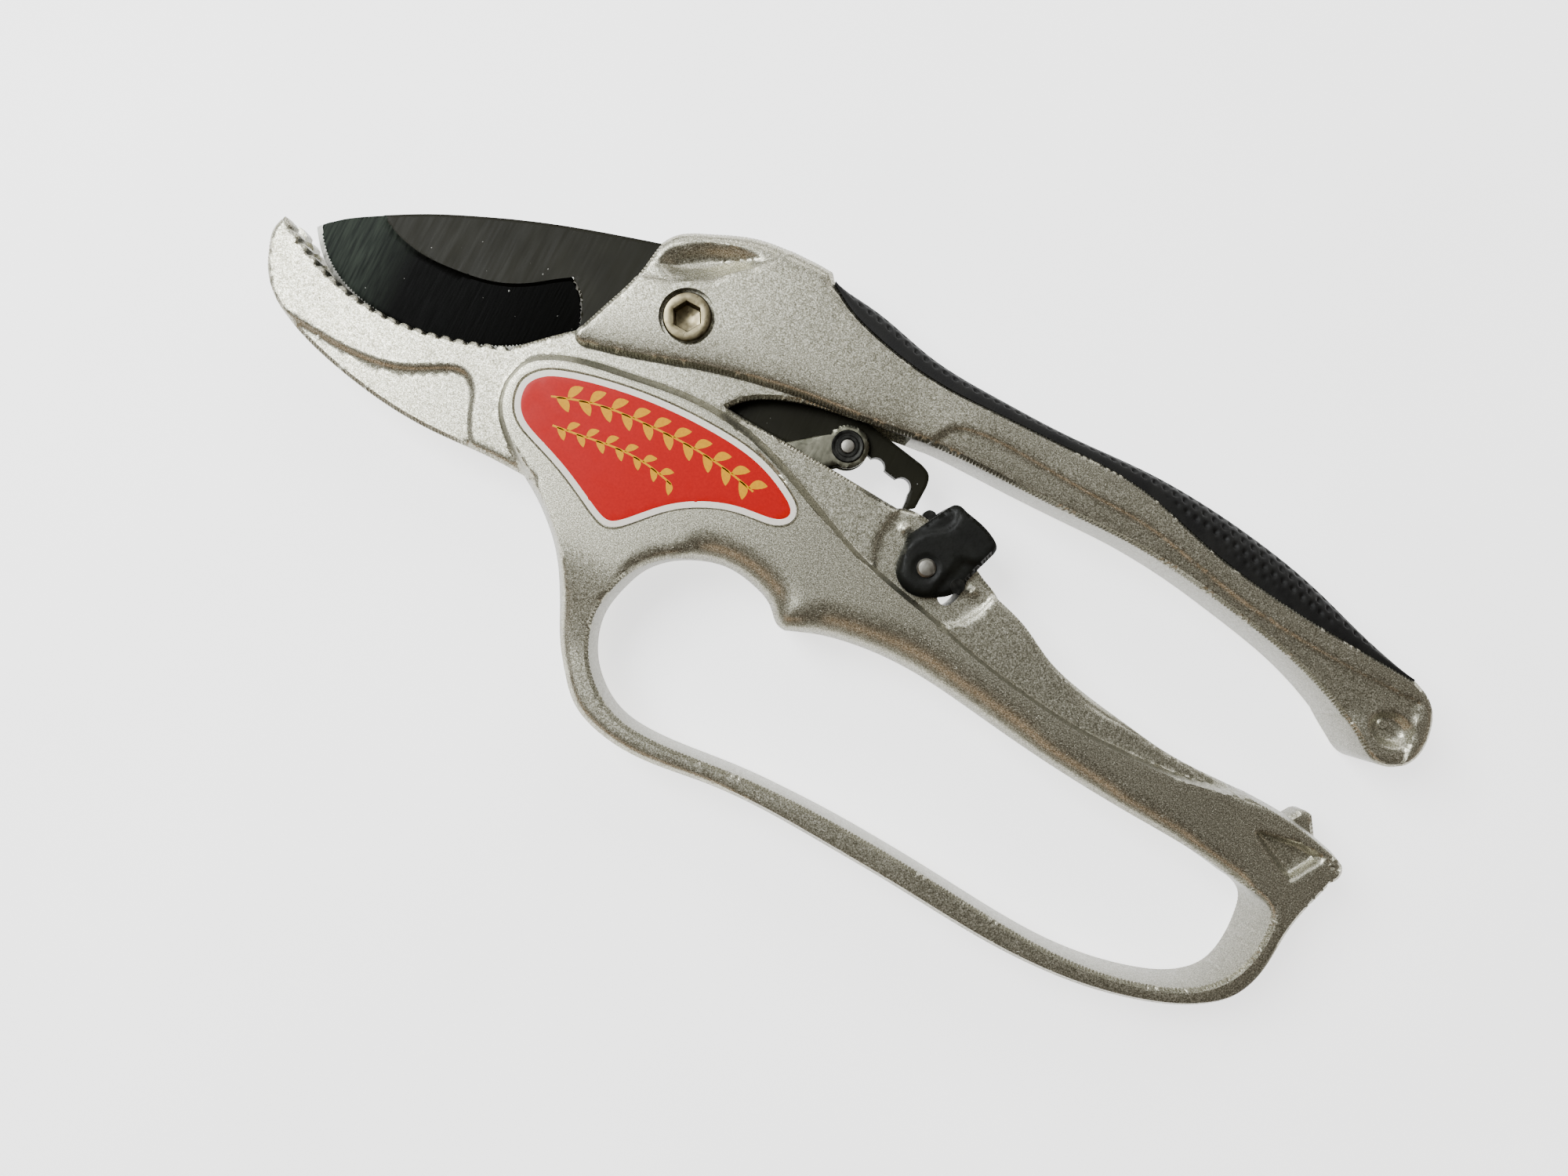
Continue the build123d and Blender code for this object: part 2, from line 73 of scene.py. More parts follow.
# ---- holes and wells ----------------------------------------------------------------------
NOTCH_R = 1.6
STUB_R = 1.5
LATCH_HOLE_R = 1.6
GUIDE_SLOT_R = 5.9            # the arc slot round the latch's pivot
GUIDE_SLOT_WIDTH = 2.7
BOLT_WELL_R = 4.6
BOLT_WELL_FLOOR = 6.4
BOLT_HOLE_R = 2.5
BUSHING_HOLE_R = 3.65
THROUGH = 9                   # past either face, for cuts that go right through

FINE = 1.0     # coarser meshes while trying things
STEP = 0.6 * FINE                     # spacing of points along outlines
LATTICE = 1.1 * FINE                  # spacing of points inside them
ROW_GAP = 0.1                         # rows of points keep at least this far apart,
LATTICE_GAP = 0.28                    # the lattice this far from them,
RIM_GAP = 0.08                        # and both this far from the outline


# ---- curves in plan -----------------------------------------------------------------------
def smooth(points, step=STEP):
    """Points about step apart on the natural cubic spline through the given ones."""
    p = np.array(points, float)
    chord = np.linalg.norm(np.diff(p, axis=0), axis=1)
    at = np.concatenate([[0], np.cumsum(chord)])
    system = np.eye(len(p))
    load = np.zeros_like(p)
    for i in range(1, len(p) - 1):
        system[i, i - 1:i + 2] = chord[i - 1], 2 * (chord[i - 1] + chord[i]), chord[i]
        load[i] = 6 * ((p[i + 1] - p[i]) / chord[i] - (p[i] - p[i - 1]) / chord[i - 1])
    bend = np.linalg.solve(system, load)
    u = np.linspace(0, at[-1], max(1, round(at[-1] / step)) + 1)
    i = np.clip(np.searchsorted(at, u, side="right") - 1, 0, len(p) - 2)
    span = chord[i][:, None]
    b = (u - at[i])[:, None] / span
    a = 1 - b
    curve = (a ** 3 - a) * bend[i] + (b ** 3 - b) * bend[i + 1]
    return a * p[i] + b * p[i + 1] + curve * span ** 2 / 6


def outline(*spans):
    """Closed loop of points. Each span goes on from the last one's end: one point is a
    straight line, several are a smooth curve through them."""
    start = spans[-1][-1]
    loop = []
    for span in spans:
        loop.append(smooth([start, *span])[:-1])
        start = span[-1]
    return np.vstack(loop)


def circle(centre, radius, sides=48):
    turn = np.arange(sides) * 2 * math.pi / sides
    return np.array(centre) + radius * np.stack([np.cos(turn), np.sin(turn)], axis=1)


def polar(centre, radius, degrees):
    turn = math.radians(degrees)
    return (centre[0] + radius * math.cos(turn), centre[1] + radius * math.sin(turn))


def inside(points, loop):
    """True for each point within the closed loop."""
    a = loop
    b = np.roll(loop, -1, axis=0)
    rise = np.where(a[:, 1] == b[:, 1], 1e-12, b[:, 1] - a[:, 1])
    found = []
    for part in np.array_split(points, max(1, len(points) // 3000)):
        y = part[:, 1:2]
        crossing = (a[:, 1] > y) != (b[:, 1] > y)
        x = a[:, 0] + (y - a[:, 1]) * (b[:, 0] - a[:, 0]) / rise
        found.append((crossing & (part[:, 0:1] < x)).sum(axis=1) % 2 == 1)
    return np.concatenate(found)


def nearest(points, starts, ends):
    """Each point's distance to the nearest of the segments, and the nearest point there."""
    along = ends - starts
    size = np.maximum((along ** 2).sum(axis=1), 1e-12)
    far = []
    where = []
    for part in np.array_split(points, max(1, len(points) // 2000)):
        offset = part[:, None, :] - starts[None]
        t = np.clip((offset * along).sum(axis=2) / size, 0, 1)
        gap = offset - t[:, :, None] * along
        square = (gap ** 2).sum(axis=2)
        best = square.argmin(axis=1)
        rows = np.arange(len(part))
        far.append(np.sqrt(square[rows, best]))
        where.append(part - gap[rows, best])
    return np.concatenate(far), np.concatenate(where)


def from_line(points, line):
    return nearest(points, line[:-1], line[1:])[0]


def depth_in(points, loop):
    """How far inside the closed loop each point is; negative outside."""
    far = nearest(points, loop, np.roll(loop, -1, axis=0))[0]
    return np.where(inside(points, loop), far, -far)


def from_point(points, centre):
    return np.linalg.norm(points - np.array(centre), axis=1)


def ease(t):
    t = np.clip(t, 0, 1)
    return t * t * (3 - 2 * t)


def fall(depth, radius):
    """How far a rounded edge of that radius drops, at that depth inside the outline."""
    t = np.clip(depth / radius, 0, 1)
    return radius * (1 - np.sqrt(np.maximum(1 - (1 - t) ** 2, 0)))


# ---- relief castings ----------------------------------------------------------------------
def triangulate(points, edges, loops, holes):
    """Triangles of the plan inside any of the loops and outside the holes, and the points,
    which now include any crossing of the edges."""
    flat, _, faces, *_ = geometry.delaunay_2d_cdt(
        [Vector(p) for p in points], edges, [], 0, 1e-5)
    flat = np.array([v[:] for v in flat])
    faces = np.array([f for f in faces if len(f) == 3])
    middle = flat[faces].mean(axis=1)
    kept = np.zeros(len(faces), bool)
    for loop in loops:
        kept |= inside(middle, loop)
    for hole in holes:
        kept &= ~inside(middle, hole)
    faces = faces[kept]
    a, b, c = (flat[faces[:, k]] for k in range(3))
    area = (b[:, 0] - a[:, 0]) * (c[:, 1] - a[:, 1]) - (b[:, 1] - a[:, 1]) * (c[:, 0] - a[:, 0])
    faces[area < 0] = faces[area < 0][:, ::-1]
    return flat, faces


def rim_edges(faces):
    """The edges that only one triangle has, each with the inside on its left."""
    edges = {(int(a), int(b)) for f in faces for a, b in zip(f, np.roll(f, -1))}
    return np.array(sorted(e for e in edges if e[::-1] not in edges))


def way_round(loop):
    """1 for a loop that runs anticlockwise, -1 for one that runs clockwise."""
    x, y = loop[:, 0], loop[:, 1]
    return np.sign((x * np.roll(y, -1) - y * np.roll(x, -1)).sum())


def loop_edges(first, count):
    return [(first + i, first + (i + 1) % count) for i in range(count)]


def left_of(ahead):
    """The unit vectors to the left of those directions."""
    left = np.stack([-ahead[:, 1], ahead[:, 0]], axis=1)
    return left / np.maximum(np.linalg.norm(left, axis=1), 1e-9)[:, None]


def beside(line, offsets):
    """Rows of points at the offsets to the left and right of the open line."""
    ahead = np.roll(line, -1, axis=0) - np.roll(line, 1, axis=0)
    ahead[0] = line[1] - line[0]
    ahead[-1] = line[-1] - line[-2]
    return [line + left_of(ahead) * offset for offset in offsets]


def thinned(groups, gap):
    """The points of the groups in turn, without those nearer than gap to an earlier one."""
    cells = {}
    kept = []
    for group in groups:
        for p in group:
            key = (int(p[0] // gap), int(p[1] // gap))
            close = (q for dx in (-1, 0, 1) for dy in (-1, 0, 1)
                     for q in cells.get((key[0] + dx, key[1] + dy), ()))
            if all((q[0] - p[0]) ** 2 + (q[1] - p[1]) ** 2 >= gap * gap for q in close):
                cells.setdefault(key, []).append(p)
                kept.append(p)
    return np.array(kept)


class Plan:
    """The triangulated plan of a flat casting: its outline, a lattice inside, and rows of
    points along the outline and along each feature line, so that steps are smooth."""

    def __init__(self, loops, holes=(), lines=(), rim_rows=(0.12, 0.35, 0.7, 1.2, 1.9, 2.8)):
        points = np.vstack([*loops, *holes])
        edges = []
        for loop in [*loops, *holes]:
            edges += loop_edges(len(edges), len(loop))
        flat, faces = triangulate(points, edges, loops, holes)
        rim = rim_edges(faces)
        starts, ends = flat[rim[:, 0]], flat[rim[:, 1]]
        rows = []
        for offset in rim_rows:
            row = (starts + ends) / 2 + left_of(ends - starts) * offset
            rows.append(row[nearest(row, starts, ends)[0] > 0.93 * offset])
        for line, offsets in lines:
            rows += beside(np.asarray(line), offsets)
        low, high = flat.min(axis=0), flat.max(axis=0)
        across, up = np.meshgrid(np.arange(low[0], high[0], LATTICE),
                                 np.arange(low[1], high[1], LATTICE * 0.87))
        across[1::2] += LATTICE / 2
        lattice = np.stack([across.ravel(), up.ravel()], axis=1)
        rim_points = flat[np.unique(rim)]
        number = {int(v): i for i, v in enumerate(np.unique(rim))}
        within = thinned([thinned([rim_points, *rows], ROW_GAP), lattice], LATTICE_GAP)
        within = within[nearest(within, starts, ends)[0] > RIM_GAP]
        all_points = np.vstack([rim_points, within])
        rim_constraints = [(number[int(a)], number[int(b)]) for a, b in rim]
        self.points, self.faces = triangulate(all_points, rim_constraints, loops, holes)
        self.rim = rim_edges(self.faces)
        self.depth, self.edge = nearest(
            self.points, self.points[self.rim[:, 0]], self.points[self.rim[:, 1]])


def by_place(anchors, points):
    """A value at each point, from (x, y, value) anchors, mostly from the nearest ones."""
    table = np.array(anchors, float)
    far = np.linalg.norm(points[:, None, :] - table[None, :, :2], axis=2)
    weight = 1 / (far + 0.5) ** 4
    return (weight * table[:, 2]).sum(axis=1) / weight.sum(axis=1)


def in_frame(points):
    return np.asarray(points, float) * MM + np.array(MIDDLE)


def add_object(name, data):
    thing = bpy.data.objects.new(name, data)
    bpy.context.scene.collection.objects.link(thing)
    return thing


def make_mesh(name, verts, faces):
    """An object from points in plan millimetres."""
    mesh = bpy.data.meshes.new(name)
    mesh.from_pydata(in_frame(verts).tolist(), [], [list(map(int, f)) for f in faces])
    mesh.update()
    return add_object(name, mesh)


def plate(name, plan, top, bottom):
    """A solid on the plan, with a height at each point or one for all, above and below."""
    count = len(plan.points)
    levels = [np.broadcast_to(level, count) for level in (top, bottom)]
    verts = np.vstack([np.column_stack([plan.points, level]) for level in levels])
    walls = [(a, a + count, b + count, b) for a, b in plan.rim]
    return make_mesh(name, verts, [*plan.faces, *(plan.faces[:, ::-1] + count), *walls])


def relief(name, plan, height):
    """A solid that is the same on both sides of the blade's mid-plane."""
    return plate(name, plan, height, -height)


def prism(name, loop, low, high):
    """A straight-sided solid on a closed loop."""
    loop = np.asarray(loop, float)
    if way_round(loop) < 0:
        loop = loop[::-1]
    count = len(loop)
    verts = np.vstack([np.column_stack([loop, np.full(count, z)]) for z in (low, high)])
    sides = [(i, (i + 1) % count, (i + 1) % count + count, i + count) for i in range(count)]
    return make_mesh(name, verts, [range(count - 1, -1, -1), range(count, 2 * count), *sides])


def core(name, loop, half=THROUGH):
    """A prism centred on the blade's mid-plane, to cut with."""
    return prism(name, loop, -half, half)


def bake_modifiers(piece):
    """Replaces the piece's mesh with the one that its modifiers give."""
    bpy.context.view_layer.update()
    shown = piece.evaluated_get(bpy.context.evaluated_depsgraph_get())
    made = bpy.data.meshes.new_from_object(shown)
    piece.modifiers.clear()
    piece.data = made


def cut(piece, *tools):
    for tool in tools:
        change = piece.modifiers.new("cut", "BOOLEAN")
        change.operation = "DIFFERENCE"
        change.solver = "EXACT"
        change.object = tool
        bake_modifiers(piece)
        bpy.data.objects.remove(tool)


def shade(piece, degrees=38):
    """Smooth shading, with an edge wherever the faces turn by more than that."""
    piece.data.shade_smooth()
    piece.data.set_sharp_from_angle(angle=math.radians(degrees))


def finish_piece(piece, body, material, *nodes, slot=None):
    """Gives a piece its material and body, and hides the CAD nodes that it stands for."""
    if material:
        piece.data.materials.clear()
        piece.data.materials.append(material)
    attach(piece, body)
    if nodes:
        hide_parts(*nodes)


# ---- node helpers for materials -----------------------------------------------------------
def add_ramp(tree, value, stops):
    """Colours or greys at places along the value."""
    made = tree.nodes.new("ShaderNodeValToRGB")
    tree.links.new(value, made.inputs["Fac"])
    bar = made.color_ramp
    while len(bar.elements) < len(stops):
        bar.elements.new(0.5)
    for element, (at, tone) in zip(bar.elements, stops):
        element.position = at
        element.color = (*tone, 1) if isinstance(tone, tuple) else (tone, tone, tone, 1)
    return made.outputs[0]


class Shader:
    """A new material with its Principled shader, and short ways to add nodes."""

    def __init__(self, name, **sockets):
        self.material = bpy.data.materials.new(name)
        self.material.use_nodes = True
        self.tree = self.material.node_tree
        self.out = self.tree.nodes["Principled BSDF"]
        for socket, value in sockets.items():
            self.out.inputs[socket.replace("_", " ")].default_value = value
        self.place = self.tree.nodes.new("ShaderNodeTexCoord").outputs["Object"]

    def node(self, kind, **inputs):
        made = self.tree.nodes.new("ShaderNode" + kind)
        for socket, value in inputs.items():
            self.link(value, made.inputs[socket.replace("_", " ")])
        return made

    def link(self, value, socket):
        if isinstance(value, bpy.types.NodeSocket):
            self.tree.links.new(value, socket)
        else:
            socket.default_value = value

    def noise(self, size, detail=2.0, stretch=(1, 1, 1), turn=0.0):
        """Noise with features of about that size in millimetres."""
        mapped = self.node("Mapping", Vector=self.place, Scale=stretch)
        mapped.inputs["Rotation"].default_value = (0, 0, math.radians(turn))
        return self.node("TexNoise", Vector=mapped.outputs[0], Scale=1 / (size * MM),
                         Detail=detail).outputs[0]

    def cells(self, size):
        return self.node("TexVoronoi", Vector=self.place, Scale=1 / (size * MM))

    def ramp(self, value, *stops):
        return add_ramp(self.tree, value, stops)

    def mix(self, factor, first, second, blend="MIX"):
        made = self.tree.nodes.new("ShaderNodeMix")
        made.data_type = "RGBA"
        made.blend_type = blend
        for value, socket in ((factor, 0), (first, 6), (second, 7)):
            if isinstance(value, tuple):
                value = (*value, 1)
            self.link(value, made.inputs[socket])
        return made.outputs[2]

    def bump(self, height, depth, under=None):
        """Bumps of that depth in millimetres, on top of the bump under them."""
        made = self.node("Bump", Height=height, Strength=1.0, Distance=depth * MM)
        if under is not None:
            self.link(under, made.inputs["Normal"])
        return made.outputs[0]

    def set(self, **sockets):
        for socket, value in sockets.items():
            self.link(value, self.out.inputs[socket.replace("_", " ")])
        return self.material


def silver_paint():
    """Metallic paint on a casting: bright flakes in a warm grey, a little uneven. Upright walls
    get painted shade: their colour is darkened, since the white floor lights them strongly."""
    s = Shader("silver_paint", Metallic=0.9)
    flake = s.cells(0.26)
    tone = s.ramp(s.noise(0.2, 2), (0.33, (0.18, 0.17, 0.12)), (0.5, (0.355, 0.342, 0.265)),
                  (0.67, (0.72, 0.7, 0.59)))
    cloud = s.ramp(s.noise(14, 3), (0.35, 0.9), (0.7, 1.0))
    colour = s.mix(1.0, tone, cloud, "MULTIPLY")
    # painted shade: the colour is darkened on upright walls, by how far the normal leans from
    # straight up
    normal = s.node("VectorMath", Vector=s.node("NewGeometry").outputs["Normal"])
    normal.operation = "ABSOLUTE"
    upward = s.node("SeparateXYZ", Vector=normal.outputs["Vector"]).outputs["Z"]
    wall_shade = s.ramp(upward, (0.1, 0.5), (0.6, 1.0))
    colour = s.mix(1.0, colour, wall_shade, "MULTIPLY")
    rough = s.ramp(s.noise(0.5, 2), (0.3, 0.3), (0.7, 0.44))
    grain = s.bump(s.node("SeparateColor", Color=flake.outputs["Color"]).outputs[0], 0.026)
    skin = s.bump(s.noise(0.9, 3), 0.02, under=grain)
    return s.set(Base_Color=colour, Roughness=rough, Normal=skin)


def black_rubber():
    s = Shader("black_rubber", Specular_IOR_Level=0.22)
    tone = s.ramp(s.noise(3, 4), (0.3, (0.003, 0.003, 0.003)), (0.75, (0.008, 0.008, 0.007)))
    rough = s.ramp(s.noise(1.5, 3), (0.3, 0.5), (0.7, 0.68))
    return s.set(Base_Color=tone, Roughness=rough, Normal=s.bump(s.noise(0.25, 3), 0.03))


def blade_coating(name, dark, light, rough):
    """Black oxide on ground steel, with fine marks across the blade and small chips."""
    s = Shader(name, Specular_IOR_Level=0.08)
    tone = s.ramp(s.noise(6, 5), (0.3, dark), (0.75, light))
    chips = s.ramp(s.noise(0.8, 2), (0.77, 0.0), (0.8, 1.0))
    colour = s.mix(chips, tone, (0.3, 0.3, 0.28))
    marks = s.noise(0.7, 2, stretch=(1, 0.08, 1), turn=25)
    gloss = s.ramp(marks, (0.3, rough - 0.05), (0.7, rough + 0.08))
    return s.set(Base_Color=colour, Roughness=gloss, Normal=s.bump(marks, 0.02))


def blade_bevel_coating():
    """Darker than the blade's face; near the tip the grinding marks show."""
    s = Shader("blade_bevel", Specular_IOR_Level=0.02)
    marks = s.noise(0.45, 2, stretch=(1, 0.06, 1), turn=-42)
    position = s.node("SeparateXYZ", Vector=s.place).outputs[0]
    tip = s.node("MapRange", Value=position, From_Min=MIDDLE[0] - 0.053,
                 From_Max=MIDDLE[0] - 0.045, To_Min=1.0, To_Max=0.0).outputs[0]
    ground = s.ramp(marks, (0.3, (0.007, 0.0095, 0.0075)), (0.7, (0.03, 0.037, 0.029)))
    chips = s.ramp(s.noise(0.9, 2), (0.76, 0.0), (0.79, 1.0))
    colour = s.mix(tip, (0.001, 0.001, 0.0007), ground)
    colour = s.mix(chips, colour, (0.25, 0.25, 0.23))
    return s.set(Base_Color=colour, Roughness=s.ramp(marks, (0.3, 0.3), (0.7, 0.42)),
                 Normal=s.bump(marks, 0.02))


def ground_edge():
    s = Shader("ground_edge", Metallic=1.0)
    marks = s.noise(0.5, 2, stretch=(1, 0.1, 1), turn=30)
    tone = s.ramp(marks, (0.3, (0.3, 0.3, 0.27)), (0.7, (0.66, 0.65, 0.6)))
    return s.set(Base_Color=tone, Roughness=s.ramp(marks, (0.3, 0.45), (0.7, 0.6)))


def plated(name, dark, light, rough, size=1.2):
    """Plated steel: cloudy tone, fine scratches."""
    s = Shader(name, Metallic=1.0)
    tone = s.ramp(s.noise(size, 4), (0.3, dark), (0.72, light))
    marks = s.noise(0.6, 3, stretch=(1, 0.12, 1), turn=40)
    gloss = s.ramp(marks, (0.3, rough - 0.06), (0.7, rough + 0.1))
    return s.set(Base_Color=tone, Roughness=gloss, Normal=s.bump(marks, 0.008))


def moulded_plastic():
    s = Shader("moulded_plastic", Specular_IOR_Level=0.18)
    tone = s.ramp(s.noise(4, 3), (0.3, (0.003, 0.0032, 0.0025)), (0.7, (0.007, 0.0075, 0.006)))
    rough = s.ramp(s.noise(0.8, 3), (0.3, 0.42), (0.7, 0.58))
    return s.set(Base_Color=tone, Roughness=rough, Normal=s.bump(s.noise(0.35, 3), 0.02))


def printed(name, dark, light):
    """Glossy ink on film: faint print grain under a clear coat."""
    s = Shader(name, Coat_Weight=0.05, Coat_Roughness=0.2, Specular_IOR_Level=0.12)
    tone = s.ramp(s.noise(0.4, 4), (0.3, dark), (0.7, light))
    return s.set(Base_Color=tone, Roughness=s.ramp(s.noise(2, 3), (0.3, 0.35), (0.7, 0.5)),
                 Normal=s.bump(s.noise(5, 2), 0.02))


SILVER = silver_paint()
RUBBER = black_rubber()
BLADE_BODY = blade_coating("blade_body", (0.0095, 0.009, 0.0048), (0.014, 0.0135, 0.008), 0.42)
BLADE_BEVEL = blade_bevel_coating()
EDGE = ground_edge()
NICKEL = plated("nickel", (0.12, 0.1, 0.055), (0.27, 0.235, 0.145), 0.32)
ZINC = plated("zinc", (0.07, 0.07, 0.05), (0.24, 0.235, 0.18), 0.36, 2.0)
STEEL = plated("steel", (0.2, 0.19, 0.165), (0.36, 0.35, 0.31), 0.38)
BLACK_STEEL = plated("black_steel", (0.012, 0.012, 0.011), (0.04, 0.04, 0.036), 0.4)
PLASTIC = moulded_plastic()
CREAM = printed("label_border", (0.8, 0.75, 0.66), (0.88, 0.83, 0.75))
RED = printed("label_red", (0.4, 0.0015, 0.001), (0.47, 0.003, 0.002))
YELLOW = printed("label_yellow", (0.62, 0.27, 0.0), (0.72, 0.34, 0.0))


# ---- lower casting ------------------------------------------------------------------------
SERRATED = [(-65.0, -16.2), (-61.0, -18.5), (-57.2, -20.2), (-52.3, -21.5), (-47.7, -22.2),
            (-42.9, -22.3), (-37.0, -21.6), (-32.3, -20.4), (-27.0, -18.7), (-23.0, -17.1)]
TOOTH_SHAPE = [(-0.72, 0), (-0.3, 0.7), (0, 1), (0.3, 0.7), (0.72, 0)]   # place, part of depth


def teeth():
    """The serrated edge, from its end at the throat to the tip of the hook."""
    edge = smooth(SERRATED, 0.05)
    run = np.concatenate([[0], np.cumsum(np.linalg.norm(np.diff(edge, axis=0), axis=1))])

    def on_edge(at):
        return np.array([np.interp(at, run, edge[:, k]) for k in (0, 1)])

    count = int(run[-1] / TOOTH_PITCH)
    points = []
    for index in range(count):
        middle = (index + 0.6) / count * run[-1]
        for offset, depth in TOOTH_SHAPE:
            at = min(max(middle + offset, 0), run[-1])
            along = on_edge(at + 0.1) - on_edge(at - 0.1)
            along /= np.linalg.norm(along)
            inward = np.array([along[1], -along[0]])
            points.append(on_edge(at) + depth * TOOTH_DEPTH * inward)
    return np.array(points)[::-1]


def web_outline():
    plain = outline(
        [(-66.9, -18.3), (-66.2, -21.5), (-64.2, -25.5), (-60, -29.2), (-52, -32.5),
         (-43.5, -34.4), (-35.5, -35.4), (-27.8, -35.5), (-20, -35), (-10.5, -35)],
        [(-6, -30)], [(100, -30)], [(112, -27)],
        [(116, -25.6), (109, -25.6), (95.4, -24.8), (85.5, -23.2), (78, -21.3),
         (72, -18.3), (66, -16.4)],
        [(64.6, -15.5), (62.6, -14.7), (60.4, -13.6), (57, -11.9), (53.5, -10.8), (50, -10.3),
         (47.4, -10.1), (45.4, -10.5), (44.4, -11)],
        [(12.2, -9.6)],
        [(14.2, -7.3), (17.5, -5.2), (22.3, -3.3), (27.5, -2.1), (31.8, -1.4)],
        [(33, -0.4), (31, 0.8), (22, 0.8), (13, -1.2), (6.2, -3.4)],
        [(3.2, -6.1), (-0.6, -6.9), (-4.6, -5.6)],
        [(-7.3, -1.6), (-9.6, -0.9), (-11, -1.8), (-11.9, -3.4), (-12.7, -5.4), (-13.9, -8.6)],
        [(-17.2, -11.5), SERRATED[-1]],
        [SERRATED[0]],
        [(-66.2, -15.8)],
    )
    first = np.linalg.norm(plain - np.array(SERRATED[-1]), axis=1).argmin()
    last = np.linalg.norm(plain - np.array(SERRATED[0]), axis=1).argmin()
    return np.vstack([plain[:first + 1], teeth(), plain[last:]])


def pad_outline():
    return outline(
        [(-20.4, -18.1), (-17, -15.3), (-12, -13.4), (-4.2, -11.9),
         (4, -10.6), (12.4, -10.4), (22.2, -12.3), (36, -17.8), (45, -21.1), (57.5, -23.9),
         (68, -26.3), (78, -27.8), (87.4, -28.6), (96.3, -28.4), (104, -27.8),
         (116.4, -25.2)],
        [(124.2, -25.5), (132.1, -27)],
        [(135, -28.4), (135.4, -30.6), (133.2, -33.4)],
        [(126, -40)], [(118, -46)], [(20, -46)], [(1.2, -45.5)],
        [(-1.2, -42.7), (-4.6, -39.4), (-8, -36.7), (-12.2, -34.6)],
        [(-17, -31.5), (-21.2, -26.2), (-21.8, -22.8)],
    )


def loop_outline():
    return outline(
        [(-12.2, -34.9)],
        [(-8.5, -37.2), (-5.1, -39.9), (-1.8, -43.2), (1, -47.2), (3.7, -52), (6.1, -56.3),
         (9, -60.2), (12.5, -63.8), (18.6, -66.3), (27, -66.8), (38.4, -65.3), (48, -64.8),
         (59.5, -65.1), (74.3, -65.8), (89.5, -66.7), (103.5, -66.2), (116.4, -63.6),
         (126, -59.4), (130.5, -55.2), (132.2, -49), (132.2, -42), (133.6, -35.5),
         (134.6, -32)],
        [(130, -29)], [(60, -30)], [(0, -28)],
    )


def window_outline():
    return outline(
        [(115, -37.9), (103, -37.3), (84, -36.1), (73.8, -34.9), (64.7, -33.8),
         (57, -33.4), (49, -34), (42, -35.6), (37.6, -37.3)],
        [(36.4, -37.2), (33.7, -35), (30.3, -33.4), (24.6, -32.6), (19.3, -33.9),
         (14.6, -36.6), (11.4, -40.4), (9.8, -44.7), (9.2, -49), (10, -53), (12, -56.8),
         (15.2, -60), (19.5, -62.3), (25, -63.1), (33.8, -62.5), (42, -61.6), (52, -61.1),
         (65.4, -61.2), (84, -62.3), (97, -63), (106, -62.6), (116.5, -60.4),
         (123, -57.6), (127, -53.8), (128.7, -49), (128.8, -44), (127.6, -40.4),
         (125.6, -39.3), (122.5, -38.9)],
    )


def softened(loop, times=6):
    """The closed loop with its corners rounded a little."""
    for _ in range(times):
        loop = (np.roll(loop, 1, axis=0) + 2 * loop + np.roll(loop, -1, axis=0)) / 4
    return loop


def label_outline():
    return softened(outline(
        [(-16.8, -18.4), (-13.4, -16.7), (-6.7, -14.9), (0.6, -13.7), (7.9, -13.2),
         (14.6, -13.3), (20.8, -14.1), (26.3, -16.1), (30.1, -18.2)],
        [(31.1, -20.5), (29.8, -22.7), (26.2, -23.8)],
        [(21.1, -24.5), (16.7, -26.2), (12.4, -29), (9.2, -32.3), (6.4, -35.4)],
        [(4.5, -36.4), (1.8, -35.7), (-6, -31.9), (-12.9, -29.4)],
        [(-16.4, -27.8), (-18.5, -25), (-19, -21.2)],
    ))


HOOK_STEP = [(-64.6, -24.3), (-60, -28.8), (-55.3, -29.5), (-49.8, -29.8), (-43.6, -29.6),
             (-37.9, -28.3), (-32.8, -25.6), (-28.2, -24.2), (-25.9, -25.6), (-23.9, -29.9),
             (-21, -34.8)]
TAIL_RECESS = [(119.1, -30.5), (120, -29.4), (126.7, -28.1), (131.2, -28.4), (131.2, -29.6),
               (128, -35), (125.6, -34), (120.8, -31.6)]
TAIL_DISC = (133.0, -28.7)
LATCH_DISC = (54.5, -15.5)
LATCH_DISC_R = 10.8
LATCH_DISC_DEPTH = 0.55
LATCH_DENTS = [(47.2, -13.4), (61.6, -17.4)]
LATCH_DENT_HEIGHT = 0.55
HOOK_STEP_DEPTH = 0.75
TAIL_RECESS_DEPTH = 1.7
LOWER_ROUNDING = [
    (-66, -20, 0.9), (-50, -33, 0.6), (-30, -35.4, 0.6), (-16, -33.5, 1.6), (-8, -37, 1.6),
    (1, -47, 1.4), (9, -60, 1.2), (30, -66.5, 0.9), (60, -65, 0.9), (90, -66.5, 0.9),
    (116, -63.5, 0.9), (130, -55, 0.9), (132, -45, 1.0), (134, -34, 1.0), (130, -27, 0.6),
    (24, -33, 5.4), (31, -34, 5.8), (14, -37, 2.4), (9.5, -46, 0.9), (12, -56, 0.8),
    (37, -37, 4.6), (46, -35, 6.4), (57, -33.5, 6.8), (74, -35, 6.4), (90, -36.4, 5.0),
    (105, -37.5, 4.2), (118, -38, 3.2), (127, -41, 1.2), (128.5, -50, 0.8), (40, -62, 0.8),
    (80, -62, 0.8), (110, -62, 0.8), (-40, -22, 0.35), (-60, -19, 0.35), (-25, -18, 0.35),
    (0, -7, 0.5), (30, -10.5, 0.4), (56, -14, 0.4), (75, -20, 0.8), (100, -25, 0.8),
]


